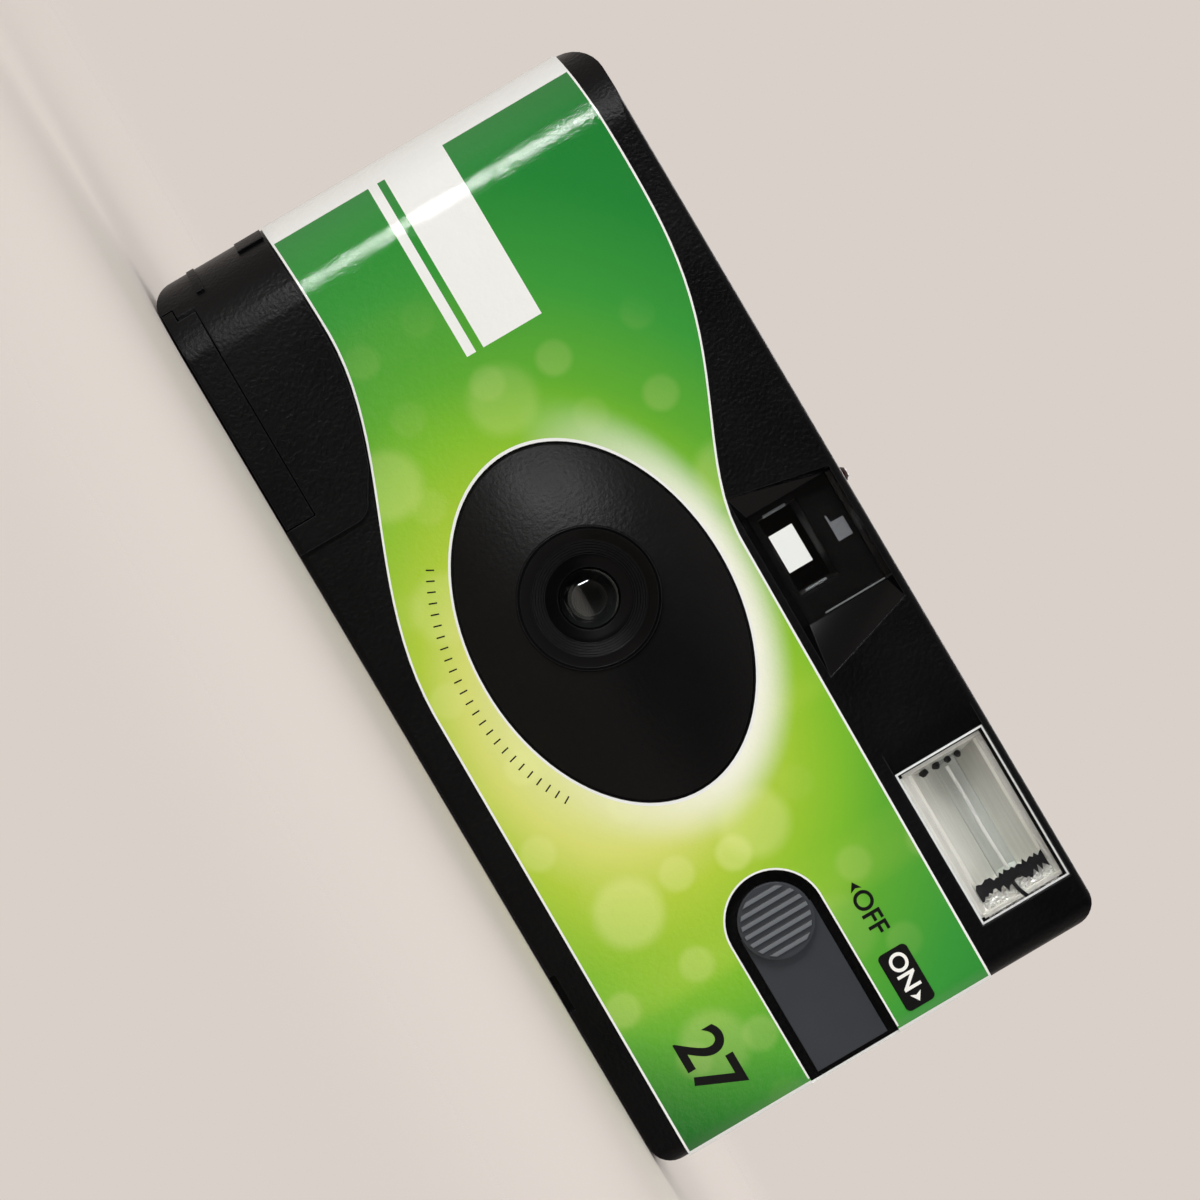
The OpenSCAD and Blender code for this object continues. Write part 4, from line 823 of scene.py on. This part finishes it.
# The ground runs from pale lime round the shroud to deep green at both ends. Towards the far lower corner it
# is darkened further by painted shade.
glow = add(tree, "ShaderNodeMapping", {"Vector": place, "Location": (8 * mm, 0, 18 * mm),
                                       "Scale": (20 * mm, 1000.0, 15 * mm)}, vector_type="TEXTURE")
reach = add(tree, "ShaderNodeVectorMath", {0: glow}, operation="LENGTH")
ground = add(tree, "ShaderNodeValToRGB", {0: add(tree, "ShaderNodeMapRange", {0: reach, 2: 4.0})})
stops = [(0.0, "#f3f4c8"), (0.2, "#d8de74"), (0.27, "#b3cf3f"), (0.34, "#98c534"), (0.4, "#80bd30"),
         (0.47, "#60ab33"), (0.6, "#3c983a"), (0.75, "#268437"), (1.0, "#1c7530")]
while len(ground.color_ramp.elements) < len(stops):
    ground.color_ramp.elements.new(0.5)
for element, (position, tone) in zip(ground.color_ramp.elements, stops):
    element.position = position
    element.color = linear(tone)
# Painted shade: the ground darkens towards the far lower corner.
far_corner = add(tree, "ShaderNodeVectorMath", {0: place, 1: (0.8, 0, -0.6)}, operation="DOT_PRODUCT")
shade = add(tree, "ShaderNodeMapRange", {0: far_corner, 1: 29 * mm, 2: 41 * mm})
colour = add(tree, "ShaderNodeMix", {0: shade, 6: ground, 7: linear("#17601f")}, data_type="RGBA")

# Slanting bands and soft discs of paler ink, as of light out of focus, strongest near the shroud.
near = add(tree, "ShaderNodeMapRange", {0: reach, 1: 0.9, 2: 2.5, 3: 1.0, 4: 0.0})
band_mm = 9
slant = add(tree, "ShaderNodeMapping", {"Vector": place, "Rotation": (0, math.radians(32), 0),
                                        "Scale": (1.0, 0.0, 0.06)})
bands = add(tree, "ShaderNodeTexNoise", {"Vector": slant, "Scale": 1 / (band_mm * mm), "Detail": 1.0})
band = add(tree, "ShaderNodeMapRange", {0: bands, 1: 0.52, 2: 0.74, 3: 0.0, 4: 0.25},
           interpolation_type="SMOOTHSTEP")
lit = add(tree, "ShaderNodeMath", {0: band, 1: near}, operation="MULTIPLY")
colour = add(tree, "ShaderNodeMix", {0: lit, 6: colour, 7: linear("#dfe763")}, data_type="RGBA")


def soft_discs(tree, place, colour, near, most):
    """Whole round spots of paler ink on a ground, each of its own strength up to most."""
    upright = add(tree, "ShaderNodeMapping", {"Vector": place, "Rotation": (math.radians(-90), 0, 0)})
    for cell_mm, disc, shift in ((17.0, 0.27, 0.013), (9.0, 0.26, 0.047)):
        moved = add(tree, "ShaderNodeVectorMath", {0: upright, 1: (shift, shift * 2, 0)}, operation="ADD")
        cells = add(tree, "ShaderNodeTexVoronoi", {"Vector": moved, "Scale": 1 / (cell_mm * mm),
                                                   "Randomness": 0.45}, voronoi_dimensions="2D").outputs
        body = add(tree, "ShaderNodeMapRange", {0: cells["Distance"], 1: disc, 2: disc * 0.6, 3: 0.0,
                                                4: most}, interpolation_type="SMOOTHSTEP")
        rate = add(tree, "ShaderNodeSeparateColor", {0: cells["Color"]})
        rated = add(tree, "ShaderNodeMath", {0: rate, 1: near}, operation="MULTIPLY")
        lit = add(tree, "ShaderNodeMath", {0: body, 1: rated}, operation="MULTIPLY")
        colour = add(tree, "ShaderNodeMix", {0: lit, 6: colour, 7: linear("#edf3a0")}, data_type="RGBA")
    return colour


colour = soft_discs(tree, place, colour, near, 0.4)

# A pale halo round the shroud, widest at its upper right.
shroud_low, shroud_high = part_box("lens_shroud")
shroud_middle = (shroud_low + shroud_high) / 2
hole = (shroud_high - shroud_low) / 2 + Vector((0.35, 0, 0.35)) * mm
oval = add(tree, "ShaderNodeMapping", {"Vector": place, "Location": (shroud_middle.x, 0, shroud_middle.z),
                                       "Scale": (hole.x, 1000.0, hole.z)}, vector_type="TEXTURE")
oval_reach = add(tree, "ShaderNodeVectorMath", {0: oval}, operation="LENGTH")
side = add(tree, "ShaderNodeVectorMath", {0: oval, 1: (0.55, 0, 0.83)}, operation="DOT_PRODUCT")
strength = add(tree, "ShaderNodeMapRange", {0: side, 1: -0.45, 2: 0.75, 3: 0.0, 4: 0.95})
halo = add(tree, "ShaderNodeMapRange", {0: oval_reach, 1: 1.28, 2: 1.0}, interpolation_type="SMOOTHSTEP")
lit = add(tree, "ShaderNodeMath", {0: halo, 1: strength}, operation="MULTIPLY")
colour = add(tree, "ShaderNodeMix", {0: lit, 6: colour, 7: linear("#f8f8ea")}, data_type="RGBA")

# White places, as boxes: a strip round the far end, the grip end, the panel and the stripe.
unprinted = [inside_box(tree, place, low, high) for low, high in (
    ((53.5, -18, 0), (55, -10.8, 54)), ((-55, -18, 0), (-51.3, 18, 54)),
    ((-52, -18, 27.8), (-30.5, 18, 34.9)), ((-52, -18, 25.8), (-30.5, 18, 26.9)))]

# The white margin along the cut edges: the two waves, the oval round the shroud and the slot of the switch.
margin, slot_margin = 0.24 * mm, 0.2 * mm
wave_end, curve_top = 55, 60


def cut_height(d, base, rise, first, power, dip, fall):
    """A cut edge's height d millimetres from the grip end: level, a wave down to base, a slight fall."""
    share = min(max((d - first) / (wave_end - first), 0), 1) ** power
    wave = rise * (1 + math.cos(math.pi * share)) / 2
    return base + wave - dip * max(1 - d / first, 0) ** 2 - fall * max(d - wave_end, 0) / (label_w - wave_end)


along = add(tree, "ShaderNodeMapRange", {0: flat["X"], 1: label_low.x, 2: label_high.x})
for cut, order in (((41, 9.9, 12, 1.55, 0.8, 0.7), 1), ((3.6, 10.8, 14, 0.95, 0.6, 0.3), -1)):
    wave = add(tree, "ShaderNodeFloatCurve", {"Value": along})
    line = wave.mapping.curves[0]
    for point, d in zip(line.points, (0, label_w)):
        point.location = (d / label_w, cut_height(d, *cut) / curve_top)
    for d in range(3, label_w, 3):
        line.points.new(d / label_w, cut_height(d, *cut) / curve_top)
    wave.mapping.update()
    edge = add(tree, "ShaderNodeMath", {0: wave, 1: curve_top * mm}, operation="MULTIPLY")
    upper, lower = (edge, flat["Z"])[::order]
    gap = add(tree, "ShaderNodeMath", {0: upper, 1: lower}, operation="SUBTRACT")
    unprinted.append(add(tree, "ShaderNodeMath", {0: gap, 1: margin}, operation="LESS_THAN"))
unprinted.append(add(tree, "ShaderNodeMath", {0: oval_reach, 1: 1 + margin / hole.z}, operation="LESS_THAN"))
knob, slot_half = Vector((37.1, 0, 23.7)) * mm, 5.35 * mm
from_knob = add(tree, "ShaderNodeVectorMath", {0: place, 1: (1, 0, 1), 2: -knob}, operation="MULTIPLY_ADD")
round_knob = add(tree, "ShaderNodeVectorMath", {0: from_knob, 1: (0, 0, 1)}, operation="MINIMUM")
slot_reach = add(tree, "ShaderNodeVectorMath", {0: round_knob}, operation="LENGTH")
rim = add(tree, "ShaderNodeMath", {0: slot_reach, 1: slot_half + slot_margin}, operation="LESS_THAN")
front_half = inside_box(tree, place, (0, -18, 0), (55, -12.2, 54))
unprinted.append(add(tree, "ShaderNodeMath", {0: rim, 1: front_half}, operation="MINIMUM"))
printed = add(tree, "ShaderNodeMix", {0: highest(tree, unprinted), 6: colour, 7: linear(paper_white)},
              data_type="RGBA")


def varnish(tree, skin, place, printed):
    """Clear varnish over print. It follows the paper's fibres, which break up its reflections.
    They are drawn coarser than real ones, so that they show."""
    fibre_mm, fibre_relief_mm = 1.1, 0.065
    fibre = add(tree, "ShaderNodeTexNoise", {"Vector": place, "Scale": 1 / (fibre_mm * mm), "Detail": 5.0,
                                             "Roughness": 0.65})
    relief = add(tree, "ShaderNodeBump", {"Height": fibre, "Strength": 1.0, "Distance": fibre_relief_mm * mm})
    plug(tree, skin, {"Base Color": printed, "Normal": relief})
    return fibre


fibre = varnish(tree, skin, place, printed)
shine = add(tree, "ShaderNodeMapRange", {0: fibre, 1: 0.3, 2: 0.7, 3: 0.05, 4: 0.12})
plug(tree, skin, {"Roughness": shine})
finish(label_paper, "front_label")

# Words on the label: OFF and ON beside the switch, each with an arrow, and a plain number in the corner.
# They are printed in black, except ON, which is left white in a black badge.

print_y = label_low.y - ink_mm / 4 * mm
facing_front = Matrix.Rotation(math.pi / 2, 4, "X")


def on_front(x, z, layer=0):
    """The place of ink on the front, in millimetres from the grip end and the base."""
    spot = ((x - label_w / 2) * mm, print_y - layer * ink_mm / 2 * mm, z * mm)
    return Matrix.Translation(spot) @ facing_front


def flat_shape(points, place):
    """A polygon of ink from points in millimetres, moved to its place."""
    form = bmesh.new()
    form.faces.new([form.verts.new((x, y, -ink_mm / 2)) for x, y in points])
    form.normal_update()
    bmesh.ops.triangulate(form, faces=form.faces[:])
    mesh = thickened(form, (0, 0, ink_mm))
    mesh.transform(place)
    return mesh


def rounded_box(w, h, r):
    """The outline of a box with round corners."""
    turns = ((1, 1, 0), (-1, 1, 90), (-1, -1, 180), (1, -1, 270))
    return [(x * (w / 2 - r) + r * math.cos(math.radians(a + 15 * k)),
             y * (h / 2 - r) + r * math.sin(math.radians(a + 15 * k))) for x, y, a in turns for k in range(7)]


arrow = [(0.55, 0), (-0.45, 0.65), (-0.2, 0), (-0.45, -0.65)]
back_arrow = [(-x, y) for x, y in reversed(arrow)]
off_z, on_z = 32.6, 32.5
black_words = [lettering("OFF", 2.0, on_front(95.3, off_z), 0.05),
               flat_shape(back_arrow, on_front(92.2, off_z)),
               lettering("27", 5.0, on_front(100.4, 9.9), 0.12),
               flat_shape(rounded_box(6.7, 3.45, 0.6), on_front(103.2, on_z))]
piece("label_words_black", black_words, black_ink, "camera")
white_words = [lettering("ON", 1.9, on_front(102.5, on_z, 1), 0.05),
               flat_shape(arrow, on_front(105.5, on_z, 1))]
piece("label_words_white", white_words, white_ink, "camera")

# Distance scale under the shroud: a row of fine ticks in black ink that follows the oval.
# It is printed with the words, in the same film of ink.

scale_gap = 2.2 * mm
scale_ticks = grown(ticks_on_an_arc, {
    "Count": 25, "First angle": math.radians(-128), "Step": math.radians(3.2),
    "Radius across": hole.x + scale_gap, "Radius up": hole.z + scale_gap,
    "Bar": (0.9 * mm, 0.16 * mm, 0.01 * mm), "Ink": black_ink})
scale_ticks.transform(Matrix.Translation((shroud_middle.x, print_y, shroud_middle.z)) @ facing_front)
piece("distance_ticks", [scale_ticks], black_ink, "camera")

# Back label: the same coated paper, in a green fade with soft discs and a thin white margin.
# Three white panels with plain numbers stand for the three steps of taking a picture: wind, look and press.

back_low, back_high = box_mm("back_label")
back_paper, tree, skin, place = start("varnished_back_paper")
flat = add(tree, "ShaderNodeSeparateXYZ", {0: place}).outputs
fade = add(tree, "ShaderNodeMapRange", {0: flat["X"], 1: back_low.x * mm, 2: back_high.x * mm})
ground = add(tree, "ShaderNodeValToRGB", {0: fade})
for element, tone in zip(ground.color_ramp.elements, ("#9cca3c", "#2c8a3c")):
    element.color = linear(tone)
colour = soft_discs(tree, place, ground, 1.0, 0.25)
inset = Vector((0.5, -1, 0.5))
field = inside_box(tree, place, back_low + inset, back_high - inset)
printed = add(tree, "ShaderNodeMix", {0: field, 6: linear(paper_white), 7: colour}, data_type="RGBA")
varnish(tree, skin, place, printed)
plug(tree, skin, {"Roughness": 0.2})
finish(back_paper, "back_label")


def on_back(u, z, layer=0):
    """The place of ink on the back, in millimetres to the right of its middle and up from the base."""
    spot = Vector((-u, back_high.y + ink_mm * (0.25 + layer), z)) * mm
    return Matrix.Translation(spot) @ Matrix.Rotation(math.pi, 4, "Z") @ facing_front


def beside(place, x, y):
    """A place moved along the paper, in millimetres."""
    return place @ Matrix.Translation(Vector((x, y, 0)) * mm)


def arc(r, first, last, count):
    """Points on a circle round the origin, between two angles in degrees."""
    angles = [math.radians(first + (last - first) * k / count) for k in range(count + 1)]
    return [(r * math.cos(a), r * math.sin(a)) for a in angles]


def bow(outer, inner, first, last, count):
    """A curved stroke between two radii and two angles in degrees."""
    return arc(outer, first, last, count) + arc(inner, last, first, count)


panel_u, panel_z = (-26.0, 0.0, 26.0), 20.5
panels = [flat_shape(rounded_box(21, 19, 1.6), on_back(u, panel_z)) for u in panel_u]
panels.append(flat_shape(rounded_box(74, 2.2, 0.5), on_back(0, 35.5)))
piece("back_panels", panels, white_ink, "camera")

badge, dot = arc(1.1, 0, 345, 23), arc(1.5, 0, 345, 23)
badge_left, badge_up = -7.8, 6.8
arrow_head = [(0, -1.4), (2.6, 0), (0, 1.4)]
push_arrow = [(-0.6, 4.6), (-0.6, 1.4), (-1.7, 1.4), (0, -1.0), (1.7, 1.4), (0.6, 1.4), (0.6, 4.6)]
wind, look, press = [on_back(u, panel_z - 1.0, 1) for u in panel_u]
signs = [flat_shape(badge, on_back(u + badge_left, panel_z + badge_up, 1) @ Matrix.Scale(2, 4))
         for u in panel_u]
signs += [flat_shape(points, spot) for points, spot in (
    (bow(5.2, 4.4, 20, 290, 36), wind),
    (arrow_head, beside(wind, 1.6, -4.55) @ Matrix.Rotation(0.3, 4, "Z")),
    (dot, wind),
    (bow(6.6, 6.0, 40, 140, 24), beside(look, 0, -4.2)),
    (bow(6.6, 6.0, 220, 320, 24), beside(look, 0, 4.2)),
    (dot, look),
    (rounded_box(12, 1.0, 0.3), beside(press, 0, -4)),
    (rounded_box(5, 1.6, 0.5), beside(press, 0, -2.6)),
    (push_arrow, press))]
piece("back_signs", signs, black_ink, "camera")
step_numbers = [lettering(str(k + 1), 2.4, on_back(u + badge_left, panel_z + badge_up, 2), 0.06)
                for k, u in enumerate(panel_u)]
piece("back_numbers", step_numbers, white_ink, "camera")

# Stage: a pale floor that fades into a pale surround, a strip lamp at the grip end and soft fills.
# The room in front of the object is darker than the surround, so that black plastic reflects little.

pale = linear("#d9d0c9")
form = bmesh.new()
bmesh.ops.create_circle(form, cap_ends=True, radius=1.2, segments=96)
floor = placed("floor", as_mesh(form, "floor"))
floor.location.z = -0.1 * mm
floor_paint, tree, skin, place = start("matt_floor_paint")
plug(tree, skin, {"Base Color": pale, "Roughness": 0.9, "Specular IOR Level": 0.1})
far = add(tree, "ShaderNodeVectorMath", {0: place}, operation="LENGTH")
fade = add(tree, "ShaderNodeMapRange", {0: far, 1: 0.1, 2: 0.4}, interpolation_type="SMOOTHSTEP")
through = add(tree, "ShaderNodeBsdfTransparent")
both = add(tree, "ShaderNodeMixShader", {0: fade, 1: skin, 2: through})
plug(tree, tree.nodes["Material Output"], {"Surface": both})
floor.data.materials.append(floor_paint)

world = bpy.data.worlds.new("studio")
bpy.context.scene.world = world
world.use_nodes = True
tree = world.node_tree
path = add(tree, "ShaderNodeLightPath").outputs
seen = add(tree, "ShaderNodeMath", {0: path["Is Camera Ray"], 1: path["Is Glossy Ray"]}, operation="ADD")
seen = add(tree, "ShaderNodeMath", {0: seen, 1: path["Is Transmission Ray"]}, operation="ADD", use_clamp=True)
room = tree.nodes["Background"]
plug(tree, room, {"Color": (1, 0.99, 0.98, 1), "Strength": 0.42})
direction = add(tree, "ShaderNodeTexCoord").outputs["Generated"]
forward = add(tree, "ShaderNodeSeparateXYZ", {0: direction}).outputs["Y"]
dusk = add(tree, "ShaderNodeMapRange", {0: forward, 1: -0.92, 2: -0.4, 3: 0.96, 4: 0.0})
dimmed = add(tree, "ShaderNodeMath", {0: dusk, 1: path["Is Glossy Ray"]}, operation="MULTIPLY")
behind = add(tree, "ShaderNodeMapRange", {0: forward, 1: 0.7, 2: 0.9, 3: 1.0, 4: 1.6})
bright = add(tree, "ShaderNodeMix", {0: path["Is Transmission Ray"], 2: 1.0, 3: behind})
level = add(tree, "ShaderNodeMath", {0: bright, 1: dimmed}, operation="SUBTRACT")
surround = add(tree, "ShaderNodeBackground", {"Color": pale, "Strength": level})
chosen = add(tree, "ShaderNodeMixShader", {0: seen, 1: room, 2: surround})
plug(tree, tree.nodes["World Output"], {"Surface": chosen})
object_middle = Vector((0, 0, 0.027))


def lamp(name, place, size, power, mirrored=True, lights=True):
    """A soft box, its size in metres and its power in watts, that looks at the object's middle.
    The camera doesn't see it. It may be left out of reflections, or shine only in them."""
    light = bpy.data.lights.new(name, "AREA")
    light.shape, light.energy = "RECTANGLE", power
    light.size, light.size_y = size
    made = placed(name, light)
    made.location = place
    made.rotation_euler = (object_middle - Vector(place)).to_track_quat("-Z", "Y").to_euler()
    made.visible_camera = False
    made.visible_glossy = made.visible_transmission = mirrored
    made.visible_diffuse = lights


lamp("strip", (-0.45, -0.66, 0.16), size=(0.02, 0.5), power=4.2, lights=False)
lamp("front_fill", (0.3, -0.7, 0.5), size=(0.7, 0.7), power=3.7, mirrored=False)
lamp("grip_fill", (-0.6, -0.55, 0.35), size=(0.6, 0.6), power=2.9, mirrored=False)
lamp("rim", (0.15, 0.6, 0.5), size=(0.7, 0.4), power=3.0)

# Camera: square on to the front, with a long lens, as the photograph was taken.
# It is turned about its own axis, so that the object leans as it does in the photograph.

camera = bpy.data.cameras.new("view")
camera.lens, camera.sensor_width = 200, 36
viewer = placed("view", camera)
lean = math.radians(59.5)
right = Vector((math.cos(lean), 0, math.sin(lean)))
up = Vector((-math.sin(lean), 0, math.cos(lean)))
turn = Matrix((right, up, Vector((0, -1, 0)))).transposed().to_4x4()
viewpoint = Vector((-1.374, -714.3, 24.87)) * mm
viewer.matrix_world = Matrix.Translation(viewpoint) @ turn
bpy.context.scene.camera = viewer
bpy.context.scene.view_settings.view_transform = "Standard"
